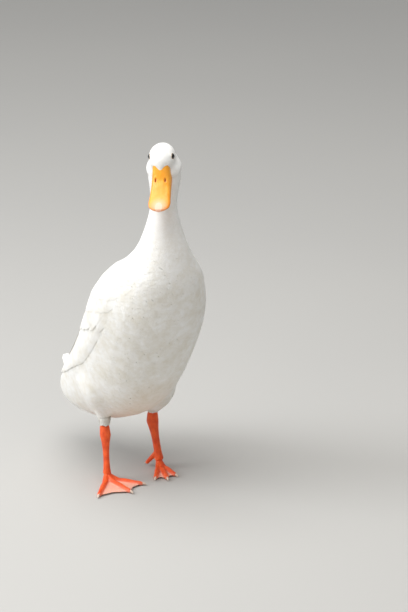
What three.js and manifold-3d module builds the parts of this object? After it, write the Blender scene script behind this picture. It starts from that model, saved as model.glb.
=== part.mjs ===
// A standing white farmyard duck, life size, as separate named solids.
// Millimetres, +Z up. The duck faces -Y and its left side is +X. Its head is turned to its right.
// The origin is on the ground, at the middle of the base of the model's bounding box.
import * as THREE from "three";
import { mergeVertices } from "three/addons/utils/BufferGeometryUtils.js";
import Module from "manifold-3d";

const wasm = await Module();
wasm.setup();

// ---------- driving dimensions ----------
const GAP = 0.3; // clearance left between pieces that meet
const WELD = 0.001; // corners nearer than this are one
const REACH = 900; // size of the blocks that cut, larger than the duck

// Trunk and neck, from the vent forward and up. Each row is one section: its centre in the duck's
// own middle plane, its half width, and its depth from the centre to the back and to the belly.
const TRUNK_X = -4; // the trunk stands a little over the right foot
const TRUNK_AND_NECK = [
  { y: 153, z: 92, wide: 14, back: 8, belly: 10 },
  { y: 144, z: 98, wide: 35, back: 15, belly: 27 },
  { y: 124, z: 110, wide: 51, back: 21, belly: 45 },
  { y: 96, z: 128, wide: 63, back: 29, belly: 63 },
  { y: 58, z: 156, wide: 70, back: 38, belly: 83 },
  { y: 16, z: 196, wide: 75, back: 49, belly: 98 },
  { y: -24, z: 244, wide: 79, back: 59, belly: 91 },
  { y: -60, z: 296, wide: 80, back: 63, belly: 77 },
  { y: -86, z: 340, wide: 63, back: 47, belly: 56 },
  { y: -95, z: 374, wide: 39.5, back: 34, belly: 39 },
  { y: -97.5, z: 406, wide: 26, back: 27, belly: 27 },
  { y: -98, z: 438, wide: 17.8, back: 20, belly: 18.5 },
  { y: -99.5, z: 462, wide: 19, back: 20, belly: 19.5 },
  { y: -101.5, z: 482, wide: 22.5, back: 22.5, belly: 20.5 },
  { y: -103.5, z: 500, wide: 22, back: 22.5, belly: 17.5 },
];
const BODY_STEPS = 28;
const BODY_SIDES = 22;
const NEARBY = 0.01; // step along the rows that shows which way they run
const BODY_FULLNESS = 2.1; // 2 is an ellipse, more is fuller at the corners
const NECK_CUTS = [352, 424]; // heights where trunk, lower neck and upper neck part
const HEAD_CUT = 474; // height where neck and head part

// Head, in its own frame: bill along -Y, origin at the middle of the skull.
const HEAD_AT = [-9.3, -105, 512];
const HEAD_TURN = -37; // degrees to the duck's right
const HEAD_NOD = 38; // degrees, bill down
const HEAD_ROLL = -5; // degrees, left eye up
const SKULL_FORMS = [
  { name: "cranium", at: [0, -1, 3], half: [18.1, 21.3, 15.6] },
  { name: "nape", at: [0, 5, -12], half: [17, 17.5, 18] },
  { name: "forehead", at: [0, -14.5, -3], half: [5.4, 14.9, 9.4] },
  { name: "jaw", at: [0, -6, -15], half: [24.4, 21.5, 16.5] },
  { name: "throat", at: [0, -10, -23], half: [18, 16.5, 14] },
];
const SKULL_BLEND = 2.8; // how far the forms melt into each other
const SKULL_DETAIL = 4;
const FINE = 2; // rounds of subdivision of the small balls
const COARSE = 1;

const EYE = { at: [13.8, -3.8, 8.2], radius: 4.6 };

// Bill, in the head's frame: distance ahead, half width, and the heights of its top and bottom.
const MOUTH_Z = -14; // the widest line of both halves
const UPPER_BILL = [
  { y: -4, wide: 11, top: 9.5, bottom: -14.5, square: 3.8 },
  { y: -14, wide: 12, top: 12, bottom: -15, square: 3.8 },
  { y: -23, wide: 12.8, top: 5.2, bottom: -16, square: 3.4 },
  { y: -34, wide: 13.2, top: -1.8, bottom: -16.8, square: 2.9 },
  { y: -46, wide: 13.6, top: -5.8, bottom: -17.2, square: 2.6 },
  { y: -58, wide: 14.2, top: -9, bottom: -17.2, square: 2.5 },
  { y: -68, wide: 14.5, top: -10.6, bottom: -17, square: 2.6 },
  { y: -74, wide: 12, top: -11.7, bottom: -16.8, square: 2.4 },
  { y: -77.5, wide: 6, top: -13, bottom: -16.6, square: 2.2 },
  { y: -78.6, wide: 2, top: -14.6, bottom: -16.4, square: 2 },
]; // square is the power of the section's curve: 2 is an ellipse, more is boxier
const LOWER_BILL = [
  { y: -6, wide: 9.5, top: -10, bottom: -26, square: 2.5 },
  { y: -20, wide: 11.2, top: -10, bottom: -25.8, square: 2.5 },
  { y: -38, wide: 11.6, top: -12, bottom: -24.4, square: 2.5 },
  { y: -56, wide: 12.2, top: -13, bottom: -22.6, square: 2.5 },
  { y: -68, wide: 11.4, top: -13, bottom: -21.6, square: 2.4 },
  { y: -74.5, wide: 6, top: -13.6, bottom: -20.6, square: 2.2 },
  { y: -76, wide: 2, top: -14, bottom: -19.6, square: 2 },
];
const BILL_STEPS = 12;
const BILL_SIDES = 12;
const NAIL = { at: [0, -71.9, -14.6], half: [4.8, 7.3, 4.2] };
const NOSTRIL = { at: [6.6, -35, -3.4], half: [1.7, 3.6, 2.4] };

// Wings, laid on the trunk: run is the way along the trunk's rows (0 vent, 1 top of neck), angle is
// degrees up from the side, reach is half the wing's width in degrees, thick is how proud it stands.
const WING = [
  { run: 0.6, angle: 24, reach: 12, thick: 2 },
  { run: 0.57, angle: 24, reach: 30, thick: 5 },
  { run: 0.51, angle: 25, reach: 40, thick: 7 },
  { run: 0.43, angle: 27, reach: 42, thick: 7 },
  { run: 0.34, angle: 31, reach: 40, thick: 6.5 },
  { run: 0.26, angle: 39, reach: 34, thick: 6.5 },
  { run: 0.19, angle: 50, reach: 26, thick: 6 },
  { run: 0.13, angle: 62, reach: 13, thick: 4 },
];
const WING_SINK = 2.5; // how far the wing's edge lies under the trunk's surface
const WING_UNDER = 5; // and its underside below that
const WING_SQUARE = 4; // power of its section's curve
const WING_STEPS = 12;
const WING_SIDES = 10;
// Flight feathers past the wing: a flat blade from under its end to the tip.
const WING_TIP = [
  { x: 38, y: 92, z: 160, wide: 12, thick: 4 },
  { x: 32, y: 118, z: 150, wide: 11, thick: 3.2 },
  { x: 26, y: 142, z: 143, wide: 8, thick: 2.2 },
  { x: 22, y: 162, z: 139, wide: 2.5, thick: 1 },
];
const WING_TIP_LEAN = 35; // degrees, outer edge down
const BLADE_SIDES = 10;
const BLADE_STEPS = 10;

// Tail fan, from its root back: half width and half thickness.
const TAIL = [
  { y: 100, z: 118, wide: 26, thick: 18 },
  { y: 124, z: 114, wide: 29, thick: 13 },
  { y: 150, z: 109, wide: 30, thick: 7 },
  { y: 172, z: 105, wide: 28, thick: 3 },
  { y: 186, z: 103, wide: 15, thick: 1.2 },
];

// Legs. The thigh's rows go up from where its feathers end: place and half thickness. Toe angles are
// degrees from straight ahead, outward positive, and arch is how high the toes bow.
const RIGHT_LEG = {
  side: -1,
  thigh: [
    { x: -44.5, y: 6, z: 85, wide: 6.6, deep: 7 },
    { x: -44.5, y: 8, z: 95, wide: 7.6, deep: 8.4 },
    { x: -45, y: 10, z: 107, wide: 12.5, deep: 14 },
    { x: -46, y: 12, z: 124, wide: 23, deep: 27 },
    { x: -47, y: 12, z: 146, wide: 32, deep: 38 },
    { x: -42, y: 8, z: 174, wide: 34, deep: 44 },
    { x: -32, y: 2, z: 200, wide: 26, deep: 40 },
  ],
  hock: [-44.5, 5, 74],
  ankle: [-43.5, 2.7, 13.6],
  toes: { inner: { turn: -44, long: 54 }, middle: { turn: -9, long: 56 }, outer: { turn: 40, long: 59 } },
  arch: 0,
  hind: { turn: 206, start: 16, end: 4 },
};
const LEFT_LEG = {
  side: 1,
  thigh: [
    { x: 42, y: 21, z: 83, wide: 6.6, deep: 7 },
    { x: 43, y: 21, z: 90, wide: 10, deep: 9.5 },
    { x: 45, y: 20, z: 98, wide: 19, deep: 16 },
    { x: 46.5, y: 19, z: 112, wide: 29.5, deep: 25 },
    { x: 43.5, y: 18, z: 134, wide: 34.5, deep: 36 },
    { x: 35, y: 12, z: 164, wide: 34, deep: 42 },
    { x: 24, y: 4, z: 192, wide: 26, deep: 40 },
  ],
  hock: [42, 21, 72],
  ankle: [46, 9, 14],
  toes: { inner: { turn: -36, long: 46 }, middle: { turn: -15, long: 48 }, outer: { turn: 6, long: 42 } },
  arch: 0.9,
  hind: { turn: 218, start: 25, end: 4.4 },
};
// Half sizes of the leg below the feathers: inside them, at the hock, on the way down and at the ankle.
const LEG_TOP = { wide: 5, deep: 5.5 };
const HOCK = { wide: 7.8, deep: 8.6 };
const SHANK = [
  { down: 0.22, wide: 5.5, deep: 6.8 },
  { down: 0.5, wide: 4.1, deep: 5.8 },
  { down: 0.82, wide: 4.4, deep: 5.8 },
];
const ANKLE = { wide: 6.2, deep: 5.9 };
const TOE = { radius: 3.7, rest: 3.1 }; // rest is the height of its middle line on the ground
// Along a toe: its height as a share of the ankle's, or over its rest with a share of the arch.
const TOE_SHAPE = [
  { along: 0, ankle: 0.74, size: 1.35 },
  { along: 0.16, ankle: 0.42, size: 1.35 },
  { along: 0.33, over: 0.5, arch: 1, size: 1.05 },
  { along: 0.52, over: 0.6, arch: 1, size: 1.12 },
  { along: 0.76, over: 0, arch: 0.5, size: 0.92 },
  { along: 0.92, over: -0.3, arch: 0, size: 0.92 },
  { along: 1, over: -0.4, arch: 0, size: 0.58 },
];
// The web runs this far along its two toes, less a hollow in its free edge, no lower than lowest.
const WEB = { from: 0.12, to: 0.92, hollow: 0.24, thick: 1.5, lowest: 2.4, under: 0.25, rows: 5 };
const HIND_TOE = { out: 3, long: 17, radius: 3.5, sizes: [1.1, 1, 0.75] };
const CLAW = { long: 8.5, radius: 2.1, sink: 3.4, lift: 0.9, hindSize: 0.7 };
const CLAW_SHAPE = [
  { ahead: 0.15, drop: 0, size: 0.95 },
  { ahead: 0.4, drop: 0.9, size: 0.7 },
  { ahead: 0.6, drop: 1.8, size: 0.35 },
];
const THIGH_STEPS = 9;
const SHANK_STEPS = 10;
const THIGH_SIDES = 12;
const LEG_SIDES = 10;
const TOE_SIDES = 7;
const TOE_STEPS = 7;
const HIND_TOE_STEPS = 4;
const CLAW_SIDES = 5;

// ---------- helpers ----------
const v3 = (x, y, z) => new THREE.Vector3(x, y, z);
const radians = THREE.MathUtils.degToRad;

// A closed geometry as a solid for booleans.
function solidOf(geometry) {
  const bare = geometry.index ? geometry.toNonIndexed() : geometry.clone();
  bare.deleteAttribute("normal");
  bare.deleteAttribute("uv");
  const merged = mergeVertices(bare, WELD);
  return new wasm.Manifold(
    new wasm.Mesh({
      numProp: 3,
      vertProperties: merged.attributes.position.array,
      triVerts: new Uint32Array(merged.index.array),
    }),
  );
}

// A solid as a three.js geometry.
function geometryOf(solid) {
  const { vertProperties, triVerts, numProp, numVert } = solid.getMesh();
  const positions = new Float32Array(numVert * 3);
  for (let i = 0; i < numVert; i++)
    positions.set(vertProperties.subarray(i * numProp, i * numProp + 3), i * 3);
  const geometry = new THREE.BufferGeometry()
    .setAttribute("position", new THREE.BufferAttribute(positions, 3))
    .setIndex(new THREE.BufferAttribute(triVerts, 1));
  geometry.computeVertexNormals();
  return geometry;
}

// Rows of named numbers at a point t from 0 to 1 along them, on a smooth curve through them all.
function rowAt(rows, t) {
  const x = THREE.MathUtils.clamp(t, 0, 1) * (rows.length - 1);
  const i = Math.min(Math.floor(x), rows.length - 2);
  const f = x - i;
  const blend = (key) => {
    const p1 = rows[i][key];
    const p2 = rows[i + 1][key];
    const p0 = i > 0 ? rows[i - 1][key] : 2 * p1 - p2;
    const p3 = i + 2 < rows.length ? rows[i + 2][key] : 2 * p2 - p1;
    const bend = 2 * p0 - 5 * p1 + 4 * p2 - p3;
    return p1 + 0.5 * f * (p2 - p0 + f * (bend + f * (3 * (p1 - p2) + p3 - p0)));
  };
  return Object.fromEntries(Object.keys(rows[0]).map((key) => [key, blend(key)]));
}
const steps = (count) => Array.from({ length: count }, (_, i) => i / (count - 1));
const turns = (count) => Array.from({ length: count }, (_, i) => (2 * Math.PI * i) / count);

// A sine or cosine made fuller at the corners, as in a superellipse.
const full = (value, power) => Math.sign(value) * Math.abs(value) ** (2 / power);

// A closed skin over rings of points, with a point at the middle of each end.
function skinOver(rings) {
  const sides = rings[0].length;
  const middle = (ring) =>
    ring.reduce((sum, p) => sum.add(p), v3(0, 0, 0)).divideScalar(sides);
  const points = [...rings.flat(), middle(rings[0]), middle(rings.at(-1))];
  const index = [];
  for (let i = 0; i + 1 < rings.length; i++)
    for (let j = 0; j < sides; j++) {
      const a = i * sides + j;
      const b = i * sides + ((j + 1) % sides);
      index.push(a, b, b + sides, a, b + sides, a + sides);
    }
  const first = rings.length * sides;
  const lastRing = first - sides;
  for (let j = 0; j < sides; j++) {
    const k = (j + 1) % sides;
    index.push(first, k, j, first + 1, lastRing + j, lastRing + k);
  }
  const geometry = new THREE.BufferGeometry().setFromPoints(points);
  geometry.setIndex(index);
  return geometry;
}

// A solid, turned the right way out whichever way its rings ran.
function loftSolid(rings) {
  const solid = solidOf(skinOver(rings));
  return solid.volume() > 0 ? solid : solidOf(skinOver([...rings].reverse()));
}

// A round limb through named stops, each a place and two half sizes: across and fore-and-aft.
function limb(stops, count, sides = LEG_SIDES, grow = 0) {
  const line = steps(count).map((t) => rowAt(stops, t));
  return loftSolid(
    line.map((stop, i) => {
      const a = line[Math.max(i - 1, 0)];
      const b = line[Math.min(i + 1, count - 1)];
      const along = v3(b.x - a.x, b.y - a.y, b.z - a.z).normalize();
      const across = v3(1, 0, 0).addScaledVector(along, -along.x).normalize();
      const deep = v3().crossVectors(along, across);
      return turns(sides).map((angle) =>
        v3(stop.x, stop.y, stop.z)
          .addScaledVector(across, Math.cos(angle) * (stop.wide + grow))
          .addScaledVector(deep, Math.sin(angle) * (stop.deep + grow)),
      );
    }),
  );
}

// Everything on one side of a level plane.
function above(height) {
  const block = new THREE.BoxGeometry(REACH, REACH, REACH);
  return solidOf(block.translate(0, 0, height + REACH / 2));
}
const below = (height) => above(height - REACH);

function ellipsoid({ at, half }, grow = 0, detail = FINE) {
  const ball = new THREE.IcosahedronGeometry(1, detail);
  ball.scale(...half.map((size) => size + grow));
  return solidOf(ball.translate(...at));
}

// ---------- trunk and neck ----------
// A point of the trunk's surface, with the way out from it.
function trunkPoint(run, angle, grow = 0) {
  const row = rowAt(TRUNK_AND_NECK, run);
  const a = rowAt(TRUNK_AND_NECK, run - NEARBY);
  const b = rowAt(TRUNK_AND_NECK, run + NEARBY);
  const length = Math.hypot(b.y - a.y, b.z - a.z);
  const dorsal = v3(0, (b.z - a.z) / length, -(b.y - a.y) / length);
  const deep = (Math.sin(angle) > 0 ? row.back : row.belly) + grow;
  return v3(TRUNK_X + full(Math.cos(angle), BODY_FULLNESS) * (row.wide + grow), row.y, row.z).addScaledVector(
    dorsal,
    full(Math.sin(angle), BODY_FULLNESS) * deep,
  );
}
const trunkAndNeck = (grow = 0) =>
  loftSolid(steps(BODY_STEPS).map((run) => turns(BODY_SIDES).map((angle) => trunkPoint(run, angle, grow))));

// ---------- head ----------
const headGroup = new THREE.Group();
headGroup.position.set(...HEAD_AT);
headGroup.rotation.set(radians(HEAD_NOD), radians(HEAD_ROLL), radians(HEAD_TURN), "ZXY");
headGroup.updateMatrix();
const placed = (solid) => solidOf(geometryOf(solid).applyMatrix4(headGroup.matrix));

// Distance from the skull's middle to an ellipsoid's far side, along a direction.
function farSide({ at, half }, direction) {
  const d = v3(...direction.toArray().map((value, i) => value / half[i]));
  const c = v3(...at.map((value, i) => value / half[i]));
  const dc = d.dot(c);
  const dd = d.lengthSq();
  return (dc + Math.sqrt(Math.max(dc * dc - dd * (c.lengthSq() - 1), 0))) / dd;
}

function skull() {
  const ball = new THREE.IcosahedronGeometry(1, SKULL_DETAIL);
  const places = ball.attributes.position;
  for (let i = 0; i < places.count; i++) {
    const direction = v3().fromBufferAttribute(places, i).normalize();
    const sum = SKULL_FORMS.reduce((s, form) => s + Math.exp(farSide(form, direction) / SKULL_BLEND), 0);
    direction.multiplyScalar(SKULL_BLEND * Math.log(sum));
    places.setXYZ(i, direction.x, direction.y, direction.z);
  }
  return solidOf(ball);
}

// Half of the bill: sections square to its length, widest at the mouth line.
const billLoft = (rows, grow = 0) =>
  loftSolid(
    steps(BILL_STEPS).map((t) => {
      const row = rowAt(rows, t);
      return turns(BILL_SIDES).map((angle) => {
        const rise = full(Math.sin(angle), row.square);
        const deep = rise > 0 ? row.top - MOUTH_Z : MOUTH_Z - row.bottom;
        const wide = full(Math.cos(angle), row.square);
        return v3(wide * (row.wide + grow), row.y, MOUTH_Z + rise * (deep + grow));
      });
    }),
  );

// ---------- wings and tail ----------
function wing(side) {
  const rings = steps(WING_STEPS).map((t) => {
    const row = rowAt(WING, t);
    return turns(WING_SIDES).map((turn) => {
      const lateral = radians(row.angle + row.reach * Math.cos(turn));
      const rise = full(Math.sin(turn), WING_SQUARE);
      const proud = -WING_SINK + rise * (rise > 0 ? row.thick + WING_SINK : WING_UNDER);
      const point = trunkPoint(row.run, lateral, proud);
      point.x = TRUNK_X + side * (point.x - TRUNK_X);
      return point;
    });
  });
  return loftSolid(rings);
}

// A flat blade along its rows, leaning to one side by an angle.
const flatBlade = (rows, lean, grow) =>
  loftSolid(
    steps(BLADE_STEPS).map((t) => {
      const row = rowAt(rows, t);
      return turns(BLADE_SIDES).map((angle) => {
        const across = Math.cos(angle) * (row.wide + grow);
        const up = Math.sin(angle) * (row.thick + grow);
        return v3(row.x + across * Math.cos(lean), row.y, row.z + across * Math.sin(lean) + up);
      });
    }),
  );

function wingTip(side, grow = 0) {
  const rows = WING_TIP.map((row) => ({ ...row, x: TRUNK_X + side * row.x }));
  return flatBlade(rows, -side * radians(WING_TIP_LEAN), grow);
}

function tail(grow = 0) {
  const rows = TAIL.map((row) => ({ ...row, x: TRUNK_X }));
  return flatBlade(rows, 0, grow);
}

// ---------- legs ----------
const stop = ([x, y, z], { wide, deep }) => ({ x, y, z, wide, deep });
const round = (radius) => ({ wide: radius, deep: radius });
const between = (a, b, f) => a.map((value, i) => value + (b[i] - value) * f);

const thigh = (leg) => limb(leg.thigh, THIGH_STEPS, THIGH_SIDES);

function shank(leg, grow = 0) {
  const { x, y, z } = leg.thigh[1];
  return limb(
    [
      stop([x, y, z], LEG_TOP),
      stop(leg.hock, HOCK),
      ...SHANK.map((row) => stop(between(leg.hock, leg.ankle, row.down), row)),
      stop(leg.ankle, ANKLE),
    ],
    SHANK_STEPS,
    LEG_SIDES,
    grow,
  );
}

// A toe's middle line: down from the ankle, along the ground with its bow, to the tip.
function toeLine(leg, { turn, long }) {
  const [x, y, z] = leg.ankle;
  const heading = radians(turn);
  return TOE_SHAPE.map((row) => {
    const far = long * row.along;
    const height = row.ankle ? z * row.ankle : TOE.rest + row.over + leg.arch * row.arch;
    const place = [x + leg.side * Math.sin(heading) * far, y - Math.cos(heading) * far, height];
    return stop(place, round(TOE.radius * row.size));
  });
}

// The web between two toes: a thin sheet whose free edge is drawn in.
function web(first, second, grow) {
  const half = WEB.thick / 2 + grow;
  const across = steps(WEB.rows);
  const rings = steps(WEB.rows).map((t) => {
    const ends = [first, second].map((line) =>
      across.map((v) => {
        const reach = WEB.to - WEB.from - WEB.hollow * Math.sin(Math.PI * v);
        const row = rowAt(line, WEB.from + t * reach);
        return v3(row.x, row.y, Math.max(row.z - row.deep * WEB.under, WEB.lowest));
      }),
    );
    const middle = across.map((v, i) => ends[0][i].clone().lerp(ends[1][i], v));
    const top = middle.map((p) => p.clone().add(v3(0, 0, half)));
    const bottom = middle.map((p) => p.clone().add(v3(0, 0, -half)));
    return [...top, ...bottom.reverse()];
  });
  return loftSolid(rings);
}

const TOES = ["inner", "middle", "outer"];
const toeLines = (leg) => TOES.map((toe) => toeLine(leg, leg.toes[toe]));

function foot(lines, grow = 0) {
  const toes = lines.map((line) => limb(line, TOE_STEPS, TOE_SIDES, grow));
  const webs = [web(lines[0], lines[1], grow), web(lines[1], lines[2], grow)];
  return [...toes, ...webs].reduce((sum, part) => sum.add(part)).intersect(above(0));
}

// The short toe behind: its stops from the shank down to its tip.
function hindToeLine(leg) {
  const heading = radians(leg.hind.turn);
  const [x, y] = leg.ankle;
  return HIND_TOE.sizes.map((size, i) => {
    const f = i / (HIND_TOE.sizes.length - 1);
    const out = HIND_TOE.out + HIND_TOE.long * f;
    const height = leg.hind.start + (leg.hind.end - leg.hind.start) * f;
    const place = [x + leg.side * Math.sin(heading) * out, y - Math.cos(heading) * out, height];
    return stop(place, round(HIND_TOE.radius * size));
  });
}

// A claw on the end of a toe's line: a small curved cone that points down to the ground.
function claw(line, size) {
  const tip = line.at(-1);
  const before = line.at(-3);
  const ahead = v3(tip.x - before.x, tip.y - before.y, 0).normalize();
  const high = tip.z + CLAW.lift;
  const at = (f, height) => [tip.x + ahead.x * f, tip.y + ahead.y * f, height];
  const root = stop(at(-CLAW.sink * size, high), round(CLAW.radius * size));
  const rest = CLAW_SHAPE.map((row) =>
    stop(at(CLAW.long * size * row.ahead, high - row.drop), round(CLAW.radius * size * row.size)),
  );
  return limb([root, ...rest], CLAW_SHAPE.length + 1, CLAW_SIDES).intersect(above(0));
}

// ---------- materials ----------
// Colour and roughness of each.
const colours = {
  plumage: [0xf5f3ec, 0.9],
  bill: [0xffa51f, 0.45],
  nail: [0xf3c6a8, 0.4],
  eye: [0x14161c, 0.08],
  leg: [0xf0541f, 0.55],
  claw: [0xf2ddc8, 0.4],
};
const materials = Object.fromEntries(
  Object.entries(colours).map(([name, [color, roughness]]) => [
    name,
    new THREE.MeshStandardMaterial({ name, color, roughness, metalness: 0 }),
  ]),
);

// ---------- assembly ----------
const duck = new THREE.Group();
function add(name, solid, material, parent = duck) {
  const mesh = new THREE.Mesh(geometryOf(solid), materials[material]);
  mesh.name = name;
  parent.add(mesh);
  return mesh;
}

const upperBill = billLoft(UPPER_BILL);
const upperBillGrown = billLoft(UPPER_BILL, GAP);
const lowerBill = billLoft(LOWER_BILL).subtract(upperBillGrown);
const lowerBillGrown = billLoft(LOWER_BILL, GAP);
const eyes = [-1, 1].map((side) => {
  const [x, y, z] = EYE.at;
  return { at: [side * x, y, z], half: [EYE.radius, EYE.radius, EYE.radius] };
});
let skullSolid = skull().subtract(upperBillGrown).subtract(lowerBillGrown);
for (const eye of eyes) skullSolid = skullSolid.subtract(ellipsoid(eye, GAP));

const bodyWhole = trunkAndNeck();
const bodyGrown = trunkAndNeck(GAP);
const headInPlace = placed(skullSolid);
const cutHead = (solid) => solid.subtract(placed(upperBillGrown)).subtract(placed(lowerBillGrown));

const head = headInPlace.add(cutHead(bodyWhole.intersect(above(HEAD_CUT)))).intersect(above(HEAD_CUT));
const neckWhole = cutHead(bodyWhole.add(headInPlace)).intersect(below(HEAD_CUT - GAP));
add("head", head, "plumage");
add("neck_upper", neckWhole.intersect(above(NECK_CUTS[1])), "plumage");
add(
  "neck_lower",
  neckWhole.intersect(below(NECK_CUTS[1] - GAP)).intersect(above(NECK_CUTS[0])),
  "plumage",
);

duck.add(headGroup);
const nostrils = [-1, 1].map((side) => {
  const [x, y, z] = NOSTRIL.at;
  return ellipsoid({ at: [side * x, y, z], half: NOSTRIL.half }, 0, COARSE);
});
add(
  "bill_upper",
  nostrils.reduce((sum, hole) => sum.subtract(hole), upperBill.subtract(ellipsoid(NAIL, GAP, COARSE))),
  "bill",
  headGroup,
);
add("bill_nail", ellipsoid(NAIL, 0, COARSE).subtract(lowerBillGrown), "nail", headGroup);
add("bill_lower", lowerBill, "bill", headGroup);
eyes.forEach((eye, i) => add(i ? "eye_left" : "eye_right", ellipsoid(eye), "eye", headGroup));

const SIDES = [
  { name: "right", side: -1, leg: RIGHT_LEG },
  { name: "left", side: 1, leg: LEFT_LEG },
];
const tailGrown = tail(GAP);
for (const { name, side } of SIDES) {
  const clear = bodyGrown.add(tailGrown);
  add("wing_" + name, wing(side).subtract(clear).subtract(wingTip(side, GAP)), "plumage");
  add("wing_tip_" + name, wingTip(side).subtract(clear), "plumage");
}
add("tail", tail().subtract(bodyGrown), "plumage");
add("trunk", bodyWhole.intersect(below(NECK_CUTS[0] - GAP)), "plumage");

for (const { name, leg } of SIDES) {
  const lines = toeLines(leg);
  const hindLine = hindToeLine(leg);
  const shankGrown = shank(leg, GAP);
  const footGrown = foot(lines, GAP);
  const hindToe = limb(hindLine, HIND_TOE_STEPS, TOE_SIDES);
  add("thigh_" + name, thigh(leg).subtract(bodyGrown).subtract(shankGrown), "plumage");
  add("shank_" + name, shank(leg), "leg");
  add("foot_" + name, foot(lines).subtract(shankGrown), "leg");
  add("hind_toe_" + name, hindToe.subtract(shankGrown).subtract(footGrown), "leg");
  lines.forEach((line, i) => add(`claw_${TOES[i]}_${name}`, claw(line, 1).subtract(footGrown), "claw"));
  const hindToeGrown = limb(hindLine, HIND_TOE_STEPS, TOE_SIDES, GAP);
  add(`claw_hind_${name}`, claw(hindLine, CLAW.hindSize).subtract(hindToeGrown), "claw");
}

// The middle of the bounding box's base goes to the origin.
const middle = new THREE.Box3().setFromObject(duck, true).getCenter(v3());
duck.position.set(-middle.x, -middle.y, 0);

export default duck;
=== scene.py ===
"""A standing white duck: solid vanes of plumage over one skin, with horn bill, webbed feet and eyes.

Lengths in the tables are in millimetres in the solids' frame, where the duck faces -Y, its left
side is +X and the floor is Z = 0. Everything is made in metres.
"""

import math
from functools import lru_cache

import bmesh
import bpy
import numpy as np
from mathutils import Matrix, Vector, noise
from mathutils.bvhtree import BVHTree
from mathutils.kdtree import KDTree


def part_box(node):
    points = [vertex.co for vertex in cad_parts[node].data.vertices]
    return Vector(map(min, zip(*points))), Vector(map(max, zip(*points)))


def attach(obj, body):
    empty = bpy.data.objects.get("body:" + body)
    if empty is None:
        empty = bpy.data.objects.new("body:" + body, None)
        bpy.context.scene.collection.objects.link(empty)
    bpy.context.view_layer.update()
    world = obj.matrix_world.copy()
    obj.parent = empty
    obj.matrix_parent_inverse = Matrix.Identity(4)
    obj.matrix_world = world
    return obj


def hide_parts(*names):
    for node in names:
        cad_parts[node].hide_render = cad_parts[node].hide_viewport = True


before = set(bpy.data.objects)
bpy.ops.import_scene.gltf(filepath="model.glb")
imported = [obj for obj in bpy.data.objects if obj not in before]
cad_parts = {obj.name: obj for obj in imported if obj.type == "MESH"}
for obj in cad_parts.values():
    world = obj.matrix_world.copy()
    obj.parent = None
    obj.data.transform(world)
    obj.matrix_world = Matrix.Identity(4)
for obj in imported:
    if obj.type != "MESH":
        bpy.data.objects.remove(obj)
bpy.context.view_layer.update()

bl_info = {
    "name": "White duck",
    "version": (1, 0, 0),
    "blender": (4, 5, 0),
    "location": "View3D > Sidebar > Duck",
    "description": "Builds a standing white duck's skin, feathers, bill, eyes and claws over its solids",
    "category": "Object",
}

MM = 0.001
SIDES = {"right": -1, "left": 1}
SEED = 7

# ---------------------------------------------------------------- shared small tools


def linear(hex_colour, alpha=1.0):
    """An sRGB hex colour as linear red, green, blue and alpha."""
    parts = [int(hex_colour[i : i + 2], 16) / 255 for i in (1, 3, 5)]
    return (*[p / 12.92 if p <= 0.04045 else ((p + 0.055) / 1.055) ** 2.4 for p in parts], alpha)


def unit(vectors):
    """Rows of an array, each made one long."""
    return vectors / np.maximum(np.linalg.norm(vectors, axis=-1, keepdims=True), 1e-12)


def step(low, high, values):
    """0 below low, 1 above high and a smooth rise between them."""
    share = np.clip((np.asarray(values, float) - low) / (high - low), 0, 1)
    return share * share * (3 - 2 * share)


def rows_at(rows, places):
    """Values of a table's columns on a smooth curve through its rows, at places along the first."""
    rows = np.asarray(rows, float)
    along = rows[:, 0]
    turned = along[0] > along[-1]
    if turned:
        rows = rows[::-1]
        along = rows[:, 0]
    slopes = np.gradient(rows[:, 1:], along, axis=0)
    places = np.clip(np.asarray(places, float), along[0], along[-1])
    i = np.clip(np.searchsorted(along, places, side="right") - 1, 0, len(along) - 2)
    gap = along[i + 1] - along[i]
    t = ((places - along[i]) / gap)[..., None]
    gap = gap[..., None]
    low, high = rows[i, 1:], rows[i + 1, 1:]
    return (
        low * (2 * t**3 - 3 * t**2 + 1)
        + high * (3 * t**2 - 2 * t**3)
        + slopes[i] * gap * (t**3 - 2 * t**2 + t)
        + slopes[i + 1] * gap * (t**3 - t**2)
    )


def box_middle(node):
    """The middle of a node's box."""
    low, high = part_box(node)
    return (Vector(low) + Vector(high)) / 2


def finished(name, mesh, slot, *materials):
    """An object at the origin that rides on the body and carries the materials given; the slot is not used."""
    piece = bpy.data.objects.new(name, mesh)
    bpy.context.scene.collection.objects.link(piece)
    for material in materials:
        mesh.materials.append(material)
    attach(piece, "root")
    return piece


def as_mesh(shape, name):
    """A bmesh turned into a smooth shaded mesh."""
    mesh = bpy.data.meshes.new(name)
    for face in shape.faces:
        face.smooth = True
    shape.to_mesh(mesh)
    shape.free()
    return mesh


def closed_again(shape, voxel):
    """One closed mesh of even small faces round everything in a bmesh."""
    mesh = bpy.data.meshes.new("draft")
    shape.to_mesh(mesh)
    shape.free()
    draft = bpy.data.objects.new("draft", mesh)
    bpy.context.scene.collection.objects.link(draft)
    closing = draft.modifiers.new("closed", "REMESH")
    closing.mode = "VOXEL"
    closing.voxel_size = voxel
    graph = bpy.context.evaluated_depsgraph_get()
    result = bmesh.new()
    result.from_mesh(draft.evaluated_get(graph).to_mesh())
    bpy.data.objects.remove(draft)
    bpy.data.meshes.remove(mesh)
    return result


def join(shape, part):
    """Adds one bmesh to another and frees it."""
    mesh = bpy.data.meshes.new("copy")
    part.to_mesh(mesh)
    part.free()
    shape.from_mesh(mesh)
    bpy.data.meshes.remove(mesh)


def smoothed(shape, rounds=3):
    """Rounds off a bmesh by moving each point towards its neighbours' middle."""
    for _ in range(rounds):
        bmesh.ops.smooth_vert(shape, verts=shape.verts, factor=0.5, use_axis_x=True, use_axis_y=True, use_axis_z=True)


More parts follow.
